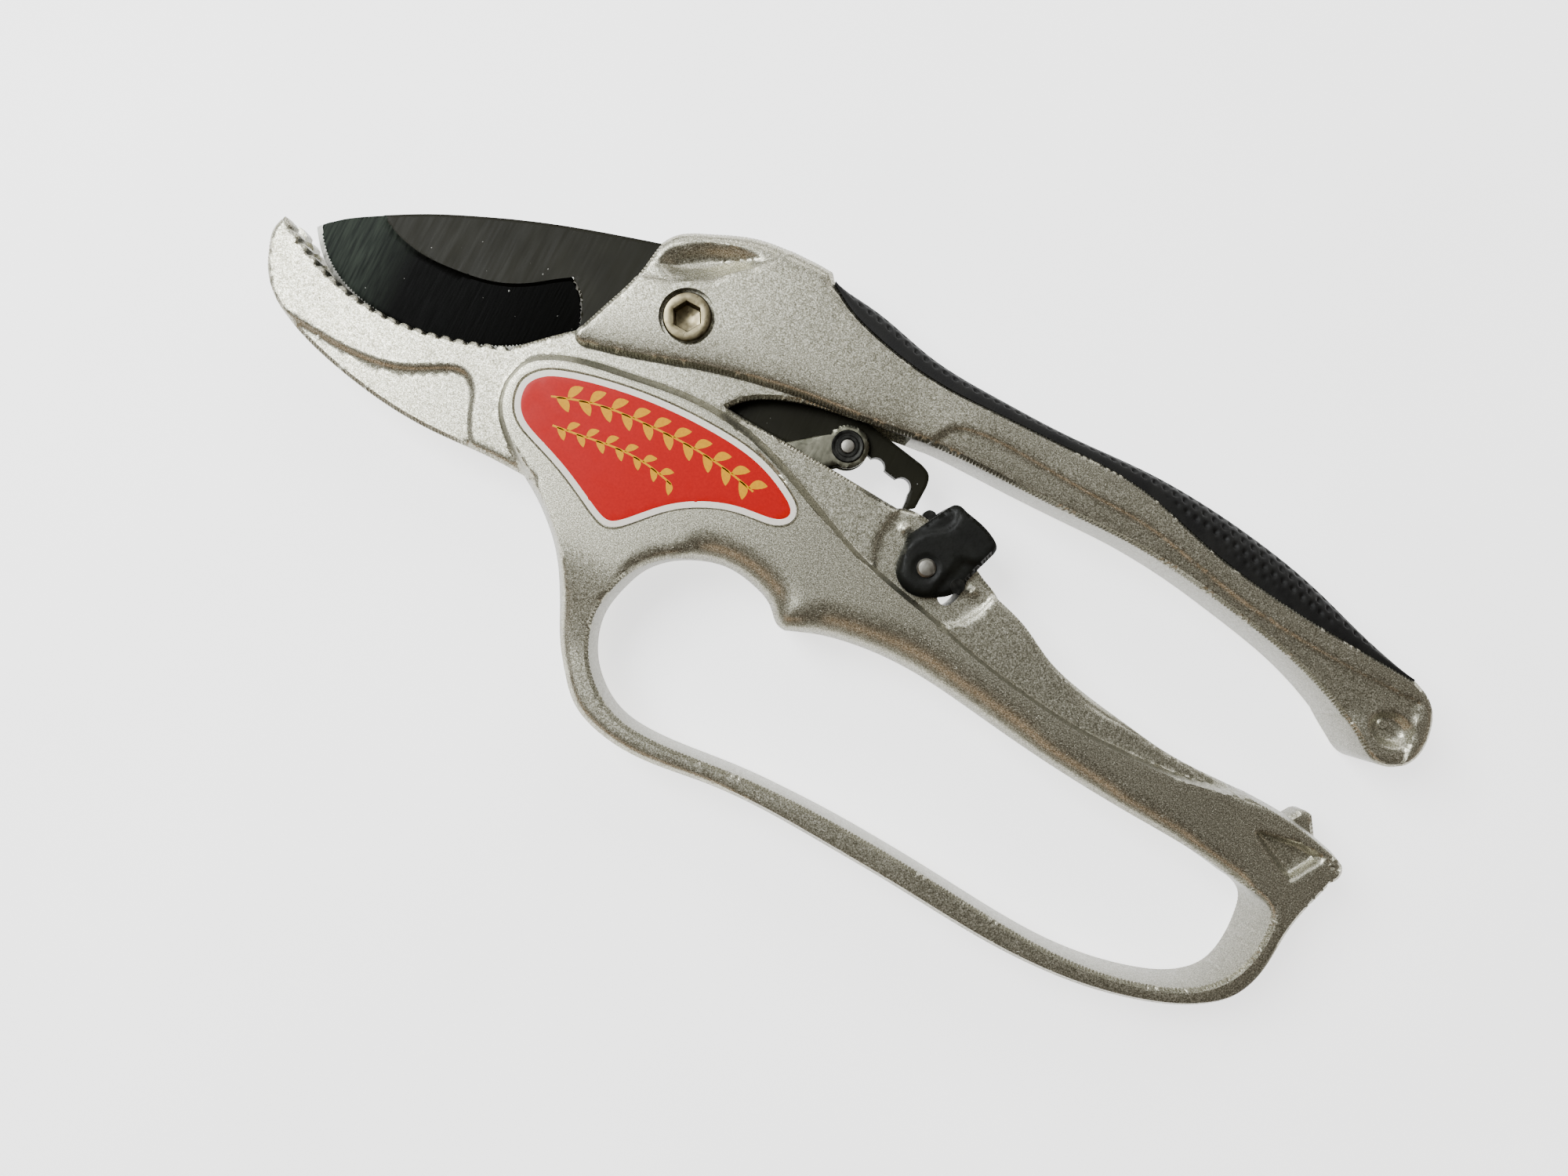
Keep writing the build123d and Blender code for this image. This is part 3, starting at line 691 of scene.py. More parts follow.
def lower_height(plan, label):
    """Half thickness at each point: pad and loop over the thin web, then the recesses, the
    marks of the latch, and the rounding of the outline."""
    p = plan.points
    body = np.maximum(depth_in(p, pad_outline()), depth_in(p, loop_outline()))
    level = LOOP_HALF + (GRIP_HALF - LOOP_HALF) * ease((p[:, 1] + 57) / 17)
    width = 1.7 - 0.8 * ease((p[:, 0] - 25) / 25)
    z = WEB_HALF + (level - WEB_HALF) * ease(body / width)
    z -= LABEL_DEPTH * ease(depth_in(p, label) / 0.3)
    recess = np.vstack([smooth(HOOK_STEP), [(-30, -60)], [(-80, -60)], [(-80, -24)]])
    z -= HOOK_STEP_DEPTH * ease(depth_in(p, recess) / 1.0)
    z -= TAIL_RECESS_DEPTH * ease(depth_in(p, np.array(TAIL_RECESS, float)) / 1.3)
    web = body < 0
    z -= LATCH_DISC_DEPTH * ease((LATCH_DISC_R - from_point(p, LATCH_DISC)) / 0.6) * web
    for dent in LATCH_DENTS:
        z += LATCH_DENT_HEIGHT * ease((1.15 - from_point(p, dent)) / 1.0)
    z -= 0.3 * ease(1 - np.abs(from_point(p, TAIL_DISC) - 0.95) / 0.3)
    radius = np.minimum(by_place(LOWER_ROUNDING, plan.edge), z - 0.8)
    return z - fall(plan.depth, radius)


def lower_casting():
    label = label_outline()
    pad = pad_outline()
    ramp = (0.15, 0.5, 0.85, 1.2, 1.55, 1.9)
    steps = [(pad, ramp), (pad, [-offset for offset in ramp]),
             (label, (-0.3, -0.15, 0.0, 0.15, 0.3)),
             (smooth(HOOK_STEP), (-1.0, -0.75, -0.5, -0.25, 0.0, 0.2, 0.5)),
             (circle(LATCH_DISC, LATCH_DISC_R, 140), (-0.1, 0.1, 0.3, 0.5, 0.7)),
             (outline(*([p] for p in TAIL_RECESS)), (0.1, -0.2, -0.5, -0.8, -1.1, -1.4)),
             (circle(TAIL_DISC, 0.95, 24), (-0.3, -0.12, 0.12, 0.3))]
    for dent in LATCH_DENTS:
        steps += [(circle(dent, r, 20), (0.0,)) for r in (0.2, 0.45, 0.7, 0.95, 1.2)]
    plan = Plan([web_outline(), pad, loop_outline()], [window_outline()], steps)
    casting = relief("lower_casting", plan, lower_height(plan, label))
    guide_slot = arc_slot(LATCH_PIVOT, GUIDE_SLOT_R, -26, 22, GUIDE_SLOT_WIDTH)
    cut(casting, core("slot", blade_slot(), SLOT_HALF),
        core("pocket", pawl_pocket(), POCKET_HALF),
        core("stub_hole", circle(HANDLE_PIVOT, STUB_R)),
        core("latch_hole", circle(LATCH_PIVOT, LATCH_HOLE_R)),
        core("guide_slot", guide_slot))
    shade(casting)
    return casting


def pawl_pocket():
    return outline(
        [(12.2, -20)],
        [(13.4, -22), (17, -23), (22, -22.4)],
        [(56, -22.4)],
        [(59, -21.2), (60.2, -18)],
        [(60.2, 6)], [(8.5, 6)], [(8.5, -10)], [(12.2, -14)],
    )


def blade_slot():
    return outline(
        [(-66.5, -18.4), (-61.5, -21.6), (-55, -24.2), (-48, -25.3), (-41, -25.3),
         (-34, -24.3), (-27, -22), (-20, -18.6), (-13, -15), (-6, -13), (4, -12.6),
         (14, -14)],
        [(20, 6)], [(-30, 6)], [(-70, -8)], [(-70, -17)],
    )


def arc_slot(centre, radius, first, last, width):
    """Outline of a slot along an arc."""
    turns = np.linspace(first, last, 24)
    outer = [polar(centre, radius + width / 2, a) for a in turns]
    inner = [polar(centre, radius - width / 2, a) for a in turns[::-1]]
    bends = np.linspace(20, 160, 8)
    end = [polar(polar(centre, radius, last), width / 2, last + a) for a in bends]
    start = [polar(polar(centre, radius, first), width / 2, first + 180 + a) for a in bends]
    return np.array([*outer, *end, *inner, *start])


def stop_lug():
    lug_outline = outline([(124.5, -27)], [(126.4, -23.9)], [(127.2, -23.3), (128.8, -23.4)],
                          [(131.6, -27.6)])
    plan = Plan([lug_outline])
    lug = relief("stop_lug", plan, 2.5 - fall(plan.depth, 0.6))
    shade(lug)
    return lug


# ---- upper casting ------------------------------------------------------------------------
CASTING_TOP = [(18.4, 16.2), (22.5, 13.8), (28.6, 11.8), (34.9, 10.5), (43, 9.8), (52, 10),
               (62, 10.3), (74.2, 10.4), (80.3, 9.6), (90, 7.2), (98, 5.6), (106.5, 4.5),
               (116, 3.9), (124, 3.6), (130.5, 3.3)]
GRIP_TOP = [(27, 15.7), (37.5, 13.4), (50, 12.5), (64, 12.5), (78, 13.4), (90, 13.1),
            (100, 11.9), (110, 9.8), (119, 6.9)]
HEAD_RECESS = [(-8.2, 5.5), (-7.9, 7.6), (-5.3, 10.4), (-1.8, 12.6), (1.2, 13.6), (4, 14.2),
               (6.1, 13.9), (4.9, 11.6), (2.5, 9.1), (-0.3, 6.8), (-2.8, 5.4), (-5.7, 4.5),
               (-8.2, 5.5)]
HEAD_LINE = [(-9.9, 1.8), (-4.7, 3.7), (0.3, 6.6), (4.7, 10.8), (8, 14.3), (9.9, 16.9)]
GRIP_STEP = [(43.8, 0.3), (44.8, 2.8), (46.2, 4.5), (49.4, 5.6), (60, 5.9), (72, 5.5),
             (80.4, 5.3), (89.6, 3.8), (99.1, 2), (110.4, 0.8), (123.3, 0.5), (133.2, 0.7)]
END_DENT = (131.1, -5.5)
END_DENT_SIZE = (4.0, 3.1)
DENT_DISC = (130.0, -5.2)
UPPER_LOW = [(123.5, -7), (119, -5.1), (112, -2.9), (104.8, -1.4), (95.4, 0.1), (86.4, 1.1),
             (79.6, 1.4), (70, 1.1), (57, 0.8), (44, 0.3), (31, -1.6), (22.6, -2.6), (14.8, -4),
             (6.9, -5.9), (-0.6, -8.3), (-8, -10.6), (-12, -11.6)]
CROWN_DROP = 1.4              # how much the face falls towards the lower edge,
CROWN_WIDTH = 9.0             # and over what width
HEAD_RECESS_DEPTH = 1.6
STEP_DEPTH = 0.55             # of HEAD_LINE and GRIP_STEP
UPPER_ROUNDING = [
    (-14, -9, 1.0), (-12.5, -4, 0.9), (-10, 4, 0.9), (-8, 10.7, 1.6), (0, 15, 2.4),
    (10, 17.7, 2.6), (17, 17.2, 2.0), (22, 14, 1.2), (35, 10.5, 1.0), (60, 10.3, 1.0),
    (90, 7.2, 1.0), (120, 3.8, 0.9), (134, 1.5, 0.8), (137, -5, 1.2), (131, -11, 1.2),
    (124, -7, 0.7), (105, -1.4, 0.6), (80, 1.4, 0.6), (57, 0.8, 0.7), (42, 0.2, 1.2),
    (22, -2.6, 1.3), (7, -6, 1.2), (-6, -10, 1.2), (-12, -11.6, 1.1),
]


def upper_outline():
    return outline(
        [(-8.3, 10.7), (-5.3, 12.9), (-0.7, 15.2), (4, 16.9), (10, 17.7), (17.2, 17.6)],
        [CASTING_TOP[0]],
        CASTING_TOP[1:],
        [(134.3, 1.5), (136.4, -1.4), (137.2, -5), (136.6, -8.3), (134.4, -10.7),
         (131.2, -11.2), (128.5, -9.9)],
        UPPER_LOW,
        [(-14, -11.8), (-15, -10.6), (-14.4, -9)],
        [(-12.1, -3), (-10.6, 1.4), (-9.5, 8.8)],
    )


def channel_outline():
    return outline(
        [(-20, 20)], [(5, 20)], [(5.2, 13)],
        [(7, 10.4), (12, 8.8), (22, 7.6), (33, 6), (38.5, 3.8), (41, 0)],
        [(42, -14)], [(-20, -16)],
    )


def hollow_outline():
    return outline(
        [(46, 14)], [(46.5, 7)],
        [(48, 4.8), (52, 4.2), (66, 4.7), (79, 4.8), (90, 3.9), (98, 2.8)],
        [(100, 14)],
    )


def end_dent_depth(p):
    """How far inside the oval dent at the handle's end each point is, in millimetres."""
    offset = p - np.array(END_DENT)
    return 1.7 * (1 - np.linalg.norm(offset / END_DENT_SIZE, axis=1))


def upper_height(plan):
    """Half thickness at each point: cheeks in front, grip behind, with the steps and dents of
    the face and the rounding of the outline."""
    p = plan.points
    rear = ease((p[:, 0] - 38) / 12)
    z = CHEEK_OUT + (GRIP_HALF - CHEEK_OUT) * rear
    recess = depth_in(p, smooth(HEAD_RECESS, 0.5)[:-1])
    z -= HEAD_RECESS_DEPTH * ease(recess / 2.8) + 0.25 * ease(recess / 0.4)
    above = p[:, 1] - np.interp(p[:, 0], *np.transpose(HEAD_LINE))
    z -= STEP_DEPTH * ease(above / 0.55) * ease((11 - p[:, 0]) / 3)
    lower = np.vstack([smooth(GRIP_STEP), [(140, -30)], [(44, -30)]])
    z -= STEP_DEPTH * ease(depth_in(p, lower) / 0.5)
    z -= 1.5 * ease(end_dent_depth(p) / 0.9)
    z += 0.35 * ease((1.0 - from_point(p, DENT_DISC)) / 0.25)
    z -= fall(from_line(p, smooth(UPPER_LOW)) * CROWN_DROP / CROWN_WIDTH, CROWN_DROP)
    radius = np.minimum(by_place(UPPER_ROUNDING, plan.edge), z - 0.8)
    return z - fall(plan.depth, radius)


def upper_casting():
    steps = [(smooth(HEAD_RECESS, 0.4), (0.2, 0.0, -0.2, -0.4, -0.7, -1.1, -1.5, -2.0, -2.5)),
             (smooth(HEAD_LINE), (-0.15, 0.0, 0.18, 0.36, 0.55)),
             (smooth(GRIP_STEP), (-0.65, -0.45, -0.25, -0.05, 0.15)),
             (circle(DENT_DISC, 1.0, 24), (-0.3, 0.0, 0.3))]
    steps += [(np.array(END_DENT) + circle((0, 0), k, 40) * END_DENT_SIZE, (0.0,))
              for k in (0.5, 0.65, 0.8, 0.9, 1.0, 1.08)]
    plan = Plan([upper_outline()], lines=steps)
    casting = relief("upper_casting", plan, upper_height(plan))
    well = circle((0, 0), BOLT_WELL_R, 72)
    cut(casting, core("channel", channel_outline(), CHEEK_IN),
        core("hollow", hollow_outline(), CHEEK_IN),
        prism("bolt_well", well, BOLT_WELL_FLOOR, THROUGH),
        prism("nut_well", well, -THROUGH, -BOLT_WELL_FLOOR),
        core("bolt_hole", circle((0, 0), BOLT_HOLE_R)))
    shade(casting)
    return casting


DIMPLE_PITCH = 1.9            # along the pad
DIMPLE_ROWS = 1.65            # from one row to the next, round the pad
DIMPLE_R = 0.72
DIMPLE_DEPTH = 0.42


def dimple_depth(x, run, rise):
    """Depth of the staggered rows of round dimples, which fade out at the pad's border."""
    row = np.round(run / DIMPLE_ROWS)
    shift = (row % 2) * DIMPLE_PITCH / 2
    column = np.round((x - shift) / DIMPLE_PITCH)
    far = np.hypot(x - shift - column * DIMPLE_PITCH, run - row * DIMPLE_ROWS)
    border = np.minimum(ease((rise - 0.5) / 0.5), ease((run[:, -1:] - np.abs(run) - 1.0) / 0.6))
    return DIMPLE_DEPTH * ease(1 - far / DIMPLE_R) * border


def shell(top, under):
    """Vertices and faces of the solid between two grids of points, one over the other."""
    number = np.arange(top[..., 0].size).reshape(top.shape[:2])
    quads = np.stack([number[:-1, :-1], number[:-1, 1:], number[1:, 1:], number[1:, :-1]], axis=2)
    quads = quads.reshape(-1, 4)
    ring = np.concatenate([number[:, 0], number[-1, 1:], number[-2::-1, -1], number[0, -2:0:-1]])
    after = np.roll(ring, -1)
    walls = np.stack([ring, after, after + number.size, ring + number.size], axis=1)
    verts = np.vstack([top.reshape(-1, 3), under.reshape(-1, 3)])
    return verts, [*quads, *(quads[:, [0, 3, 2, 1]] + number.size), *walls]


def rubber_grip():
    """The pad on the back: a crowned strip with dimples."""
    seat = smooth(CASTING_TOP, 0.3)
    crown = smooth([CASTING_TOP[0], *GRIP_TOP, CASTING_TOP[-1]], 0.3)
    along = np.linspace(CASTING_TOP[0][0] + 0.05, CASTING_TOP[-1][0] - 0.05, round(480 / FINE))
    across = np.linspace(-1, 1, round(110 / FINE))
    x, turn = np.meshgrid(along, across, indexing="ij")
    low = np.interp(x, seat[:, 0], seat[:, 1])
    rise = (np.interp(x, crown[:, 0], crown[:, 1]) - low) * (1 - np.abs(turn) ** 3.2)
    y = low + rise
    z = (GRIP_HALF - 0.15) * np.sin(turn * math.pi / 2)
    run = np.cumsum(np.hypot(np.diff(y, axis=1, prepend=y[:, :1]),
                             np.diff(z, axis=1, prepend=z[:, :1])), axis=1)
    run -= run[:, -1:] / 2
    slope_y, slope_z = np.gradient(y, axis=1), np.gradient(z, axis=1)
    dent = dimple_depth(x, run, rise) / np.hypot(slope_y, slope_z)
    top = np.stack([x, y - dent * slope_z, z + dent * slope_y], axis=2)
    under = np.stack([x, np.minimum(top[..., 1], low - 0.3), top[..., 2]], axis=2)
    grip = make_mesh("rubber_grip", *shell(top, under))
    shade(grip, 60)
    return grip


# ---- blade --------------------------------------------------------------------------------
CUTTING_EDGE = [(-62.8, -14.6), (-61, -17.0), (-56.5, -20.6), (-51.1, -22.5), (-44.1, -23.2),
                (-35.8, -22.2), (-28.2, -19.6), (-22.5, -16.4), (-18.5, -13), (-15.6, -10)]
BEVEL_LINE = [(-54.4, -6.6), (-52.8, -7.8), (-51, -9), (-48.8, -9.8), (-44.4, -10.5),
              (-38.7, -10.2), (-34.2, -9.5), (-29.9, -8.1), (-26.2, -6), (-22.7, -3.4),
              (-20.7, -2.1)]
BEVEL_END = [(-20.7, -2.1), (-18.2, -4.3), (-15.6, -9.7)]
BEVEL_WIDTH = 12.5
HONED_WIDTH = 0.95            # of the bright strip along the cutting edge
EDGE_HALF = 0.05
TAIL_CLEAR = 10.1             # the tail's end keeps this far from the latch's pivot


def blade_outline():
    return outline(
        [(-60, -12), (-53.4, -7.8), (-47.8, -4.6), (-40.8, -1.2), (-33.6, 1.9),
         (-26.2, 4.7), (-18.6, 7.2), (-10.4, 9.7)],
        [(-7.5, 10.5), (-3.5, 10.4), (1.5, 9.2), (6, 6.6), (12, 4.2), (22, 1.6), (34, -0.6),
         (44.6, -2.4)],
        [(46.6, -3.4), (47.2, -5.4)],
        [polar(LATCH_PIVOT, TAIL_CLEAR, 124.5)],
        [polar(LATCH_PIVOT, TAIL_CLEAR, turn) for turn in (131, 138)],
        [(45.3, -9)], [(44.9, -7)],
        [(43.4, -6.74), (42, -6.56), (40.1, -6.23), (38.3, -5.83), (36.9, -5.43),
         (35.4, -4.97), (34.2, -4.55), (32.9, -4.2)],
        [(30.6, -5.3)],
        [(27, -8.6), (20.6, -9.9), (12, -9.2), (4, -8.4), (-4, -9), (-10, -11)],
        [CUTTING_EDGE[-1]],
        CUTTING_EDGE[-2::-1],
    )


def bevel_outline():
    """The ground part of the blade, reaching past the cutting edge."""
    return np.vstack([smooth(BEVEL_LINE), smooth(BEVEL_END)[1:], [(-16, -16)], [(-40, -34)],
                      [(-70, -24)], [(-68, -8)], [(-58, -4)]])


def paint_blade(blade, edge):
    """One coating on the faces, another on the bevel, and bare metal along its two ends."""
    blade.data.materials.clear()
    for material in (BLADE_BODY, BLADE_BEVEL, EDGE):
        blade.data.materials.append(material)
    centres = np.array([f.center[:] for f in blade.data.polygons])
    p = ((centres - np.array(MIDDLE)) / MM)[:, :2]
    in_bevel = depth_in(p, bevel_outline()) > 0.05
    bare = (from_line(p, edge) < HONED_WIDTH) | (from_line(p, smooth(BEVEL_END)) < 0.27)
    blade.data.polygons.foreach_set("material_index", in_bevel.astype(int) + (bare & in_bevel))


def blade_plate():
    edge = smooth(CUTTING_EDGE)
    steps = [(smooth(BEVEL_LINE), (-0.5, -0.25, 0.0, 0.25, 0.5)),
             (smooth(BEVEL_END), (-0.5, -0.22, 0.0, 0.22, 0.5)),
             (edge, (0.25, 0.5, 0.75, 1.0, 1.3))]
    plan = Plan([blade_outline()], [circle((0, 0), BUSHING_HOLE_R, 60)], steps,
                rim_rows=(0.08, 0.2, 0.4, 0.7, 1.2))
    p = plan.points
    bevel = depth_in(p, bevel_outline())
    to_edge = from_line(p, edge)
    slope = 0.22 + np.clip(to_edge / BEVEL_WIDTH, 0, 1) ** 0.9 * (BLADE_HALF - 0.42)
    ground = np.minimum(slope, BLADE_HALF - 0.12)
    z = np.where(bevel > 0, BLADE_HALF + (ground - BLADE_HALF) * ease(bevel / 0.45), BLADE_HALF)
    honed = np.clip(to_edge / HONED_WIDTH, 0, 1)
    z = np.where(bevel > 0.4, np.minimum(z, EDGE_HALF + honed * (z - EDGE_HALF)), z)
    rounded = np.where((bevel > 0) & (to_edge < 3), 0.0, fall(plan.depth, 0.16))
    blade = relief("blade_plate", plan, z - rounded)
    for notch in NOTCHES:
        cut(blade, core("notch", circle(notch, NOTCH_R, 40)))
    paint_blade(blade, edge)
    shade(blade, 25)
    return blade


# ---- turned pieces ------------------------------------------------------------------------
def lathe(name, centre, profile, sides=72):
    """A solid of revolution about Z. The profile runs from the axis at the top, round the
    outside, to the axis at the bottom: (radius, z), or (radius, z, 6) where it is a hexagon."""
    turn = np.arange(sides) * 2 * math.pi / sides
    verts = []
    rings = []
    for radius, z, *hexagon in profile:
        reach = np.full(sides, radius, float)
        if hexagon:
            reach *= math.cos(math.pi / 6) / np.cos(turn % (math.pi / 3) - math.pi / 6)
        ring = [len(verts)] * sides if radius == 0 else range(len(verts), len(verts) + sides)
        rings.append(list(ring))
        if radius == 0:
            verts.append((*centre, z))
        else:
            verts += [(centre[0] + r * math.cos(a), centre[1] + r * math.sin(a), z)
                      for r, a in zip(reach, turn)]
    faces = []
    for upper, lower in zip(rings, rings[1:]):
        for i in range(sides):
            j = (i + 1) % sides
            faces.append(list(dict.fromkeys([upper[i], lower[i], lower[j], upper[j]])))
    piece = make_mesh(name, np.array(verts), faces)
    shade(piece, 32)
    return piece


def socket_bolt():
    """Button-edged head with a hexagon socket and a shank that runs down to the nut."""
    top = CHEEK_OUT + 0.1
    return lathe("socket_bolt", (0, 0), [
        (0, top - 2.9), (1.2, top - 2.5), (2.2, top - 2.3, 6), (2.3, top - 2.2, 6),
        (2.42, top - 0.2, 6), (2.55, top - 0.05, 6), (2.75, top), (3.45, top),
        (3.75, top - 0.08), (3.93, top - 0.28), (4.0, top - 0.55), (4.0, 6.5), (3.9, 6.4),
        (2.5, 6.4), (2.5, -7.2), (2.2, -7.4), (0, -7.4)])


def slotted_nut():
    bottom = -CHEEK_OUT - 0.1
    nut = lathe("slotted_nut", (0, 0), [
        (0, -7.42), (2.4, -7.42), (2.52, -7.3), (2.52, -6.4), (3.9, -6.4), (4.0, -6.5),
        (4.0, bottom + 0.5), (3.88, bottom + 0.2), (3.6, bottom), (0, bottom)])
    slot = outline([(-5, -0.6)], [(5, -0.6)], [(5, 0.6)], [(-5, 0.6)])
    cut(nut, prism("driver_slot", slot, bottom - 1, bottom + 0.5))
    shade(nut, 32)
    return nut


def both_ends(half_profile):
    """The profile of a pin whose lower half mirrors the upper one."""
    return [*half_profile, *[(r, -z) for r, z in half_profile[::-1]]]


def latch_rivet():
    """The latch's pin, with chamfered, slightly domed ends."""
    radius, half, dome = 1.55, 8.1, 0.3
    return lathe("latch_rivet", LATCH_PIVOT, both_ends([
        (0, half), (radius / 2, half - dome * 0.1), (radius - dome, half - dome * 0.4),
        (radius, half - dome * 1.4)]))


def shouldered_pin():
    """The ratchet pin: thick between the links, thinner where it runs through them."""
    return lathe("shouldered_pin", RATCHET_PIN, both_ends([
        (0, 3.5), (0.6, 3.48), (1.05, 3.4), (1.2, 3.2), (1.2, 1.66), (1.5, 1.64)]))


def retaining_rings():
    """A ring on each end of the ratchet pin: rounded outer edge, lip round the pin."""
    pieces = []
    for side in (1, -1):
        rows = [(1.22, 3.1), (1.3, 3.24), (1.75, 3.24), (1.85, 3.14), (2.1, 3.12), (2.3, 3.2),
                (2.52, 3.2), (2.66, 3.1), (2.7, 2.95), (2.7, 2.82), (1.22, 2.82), (1.22, 3.1)]
        rows = [(r, z * side) for r, z in rows[::side]]
        pieces.append(lathe("ring", RATCHET_PIN, rows))
    return join("retaining_rings", pieces)


def join(name, pieces):
    """One object with the meshes of all the pieces."""
    with bpy.context.temp_override(active_object=pieces[0], selected_editable_objects=pieces,
                                   object=pieces[0], selected_objects=pieces):
        bpy.ops.object.join()
    pieces[0].name = name
    pieces[0].data.name = name
    return pieces[0]


# ---- ratchet link -------------------------------------------------------------------------
LINK_IN = 1.65
LINK_OUT = 2.8


def link_outline(radius=3.6, waist=2.8):
    """A bar with round ends; one end is the pawl's pivot, the other the ratchet pin."""
    start, end = np.array(PAWL_PIVOT), np.array(RATCHET_PIN)
    heading = math.degrees(math.atan2(*(end - start)[::-1]))
    lift = math.degrees(math.asin(waist / radius))
    near = [polar(start, radius, heading + a) for a in np.linspace(lift, 360 - lift, 28)]
    far = [polar(end, radius, heading + a) for a in np.linspace(lift - 180, 180 - lift, 28)]
    return np.array([*near, *far])


def ratchet_link(name, side):
    """Stamped plate with rolled edges, and rings of mesh points round the pin."""
    holes = [circle(PAWL_PIVOT, 2.05, 40), circle(RATCHET_PIN, 1.21, 32)]
    rim = [(circle(RATCHET_PIN, r, 48), (0.0,)) for r in (2.9, 3.1, 3.3)]
    plan = Plan([link_outline()], holes, rim, rim_rows=(0.1, 0.25, 0.45))
    outer = LINK_OUT - fall(plan.depth, 0.3)
    link = plate(name, plan, outer, LINK_IN) if side > 0 else plate(name, plan, -LINK_IN, -outer)
    shade(link)
    return link


# ---- latch --------------------------------------------------------------------------------
LEVER_HALF = 7.6
LEVER_R = 4.8                 # of its round end
LEVER_CONTOUR = [(53.4, -6.6), (54.1, -8.8), (53.2, -10.9), (51.1, -12.4), (49.4, -14.4),
                 (48.9, -17.4), (49.8, -20.0)]
LEVER_LIP = np.array([(57, -13.2), (60.2, -12.4), (64, -12), (64, -22), (56, -24), (55, -20.6),
                      (55.8, -17)])
LEVER_ROUNDING = [(47.9, -15, 0.9), (50, -9, 0.8), (53, -6.2, 1.0), (60, -8.3, 0.8),
                  (61.4, -11, 1.2), (59, -19, 1.2), (54, -22.4, 1.5), (49, -20.5, 1.4)]


def lever_outline():
    return outline(
        [(60.4, -8.3), (61.6, -9.4), (61.3, -11.4)],
        [(59.9, -16.4), (58.9, -19.2), (56.2, -21.3)],
        [polar(LATCH_PIVOT, LEVER_R, turn) for turn in (-75, -110, -150, 170)],
        [(47.9, -14.2)],
        [(51.5, -7.5), (52.5, -6.2), (54.6, -6.5)],
    )


def thumb_lever():
    """Two skirts over the web, joined by the thumb tab, with a raised round boss."""
    contour = smooth(LEVER_CONTOUR)
    rings = [(circle(LATCH_PIVOT, r, 60), (0.0,)) for r in (1.9, 2.3, 2.7, 3.4, 3.7, 4.0)]
    plan = Plan([lever_outline()], lines=[(contour, (-0.7, -0.45, -0.2, 0.0, 0.2)), *rings])
    p = plan.points
    boss = from_point(p, LATCH_PIVOT)
    flange = np.vstack([contour, [(40, -24)], [(40, 0)], [(53, 0)]])
    z = LEVER_HALF - 0.55 * ease(depth_in(p, flange) / 0.7)
    z += 0.4 * ease((3.6 - boss) / 0.8) * (z < LEVER_HALF - 0.1)
    z -= 0.3 * ease((2.4 - boss) / 0.7)
    z -= 0.7 * ease(depth_in(p, LEVER_LIP) / 1.2)
    z = np.minimum(z, LEVER_HALF)
    radius = by_place(LEVER_ROUNDING, plan.edge)
    lever = relief("thumb_lever", plan, z - fall(plan.depth, radius))
    box = outline([(57.9, -19.6)], [(67.9, -19.6)], [(67.9, -10.6)], [(57.9, -10.6)])
    cut(lever, core("inner", circle(LATCH_PIVOT, 9.7, 80), CHEEK_IN),
        core("below", box, CHEEK_IN),
        core("pin_hole", circle(LATCH_PIVOT, LATCH_HOLE_R, 40)))
    shade(lever)
    return lever


# ---- label --------------------------------------------------------------------------------
def film(name, loop, low, high, edge=0.12):
    """A thin printed layer with a rounded rim."""
    plan = Plan([loop], rim_rows=(0.06, 0.14, 0.5))
    layer = plate(name, plan, high - fall(plan.depth, edge) * 0.5, low)
    shade(layer)
    return layer


def shrunk(loop, margin):
    """The loop moved inwards by that margin."""
    ahead = np.roll(loop, -1, axis=0) - np.roll(loop, 1, axis=0)
    moved = loop + left_of(ahead) * margin * way_round(loop)
    far = nearest(moved, loop, np.roll(loop, -1, axis=0))[0]
    return softened(moved[far > margin * 0.97])


def leaf(centre, heading, length, width):
    """Outline of a leaf, pointed at both ends and a little bent."""
    t = np.linspace(0, 1, 12)
    spine = np.stack([(t - 0.5) * length, 0.12 * length * np.sin(t * math.pi)], axis=1)
    half = width / 2 * np.sin(t * math.pi) ** 0.8
    flat = np.vstack([spine + np.stack([t * 0, half], axis=1),
                      (spine - np.stack([t * 0, half], axis=1))[-2:0:-1]])
    turn = math.radians(heading)
    spin = np.array([[math.cos(turn), -math.sin(turn)], [math.sin(turn), math.cos(turn)]])
    return np.array(centre) + flat @ spin.T


LABEL_TOP = GRIP_HALF - LABEL_DEPTH + 0.35
BORDER_MARGIN = 0.32          # of the pale border within the recess
FIELD_MARGIN = 1.05           # and of the red field
LEAF_TURN = 44
ORNAMENT_TOP = [(-13.2, -21.6), (-6, -19.3), (2, -18.4), (10, -18.2), (17, -18.8), (22.6, -19.9)]
ORNAMENT_STEM = [(-10.8, -25.6), (-6, -24.9), (0, -24.0), (6, -24.1), (10.4, -25.0)]


def label_ornament():
    """A garland: leaves in pairs along an arc, and a smaller sprig under it."""
    layers = []
    for line, count, size, wide in ((ORNAMENT_TOP, 20, 3.1, 1.45), (ORNAMENT_STEM, 13, 2.4, 1.1)):
        path = smooth(line, 0.1)
        left, right = beside(path, (0.16, -0.16))
        layers.append(np.vstack([left, right[::-1]]))
        for k in range(count):
            at = int((k + 0.5) / count * (len(path) - 1))
            ahead = path[min(at + 2, len(path) - 1)] - path[max(at - 2, 0)]
            heading = math.degrees(math.atan2(ahead[1], ahead[0]))
            side = 1 if k % 2 else -1
            outward = heading + side * LEAF_TURN
            layers.append(leaf(polar(path[at], size / 2, outward), outward, size, wide * side))
    pieces = [prism("stroke", loop, LABEL_TOP - 0.1, LABEL_TOP + 0.03) for loop in layers]
    return join("label_ornament", pieces)


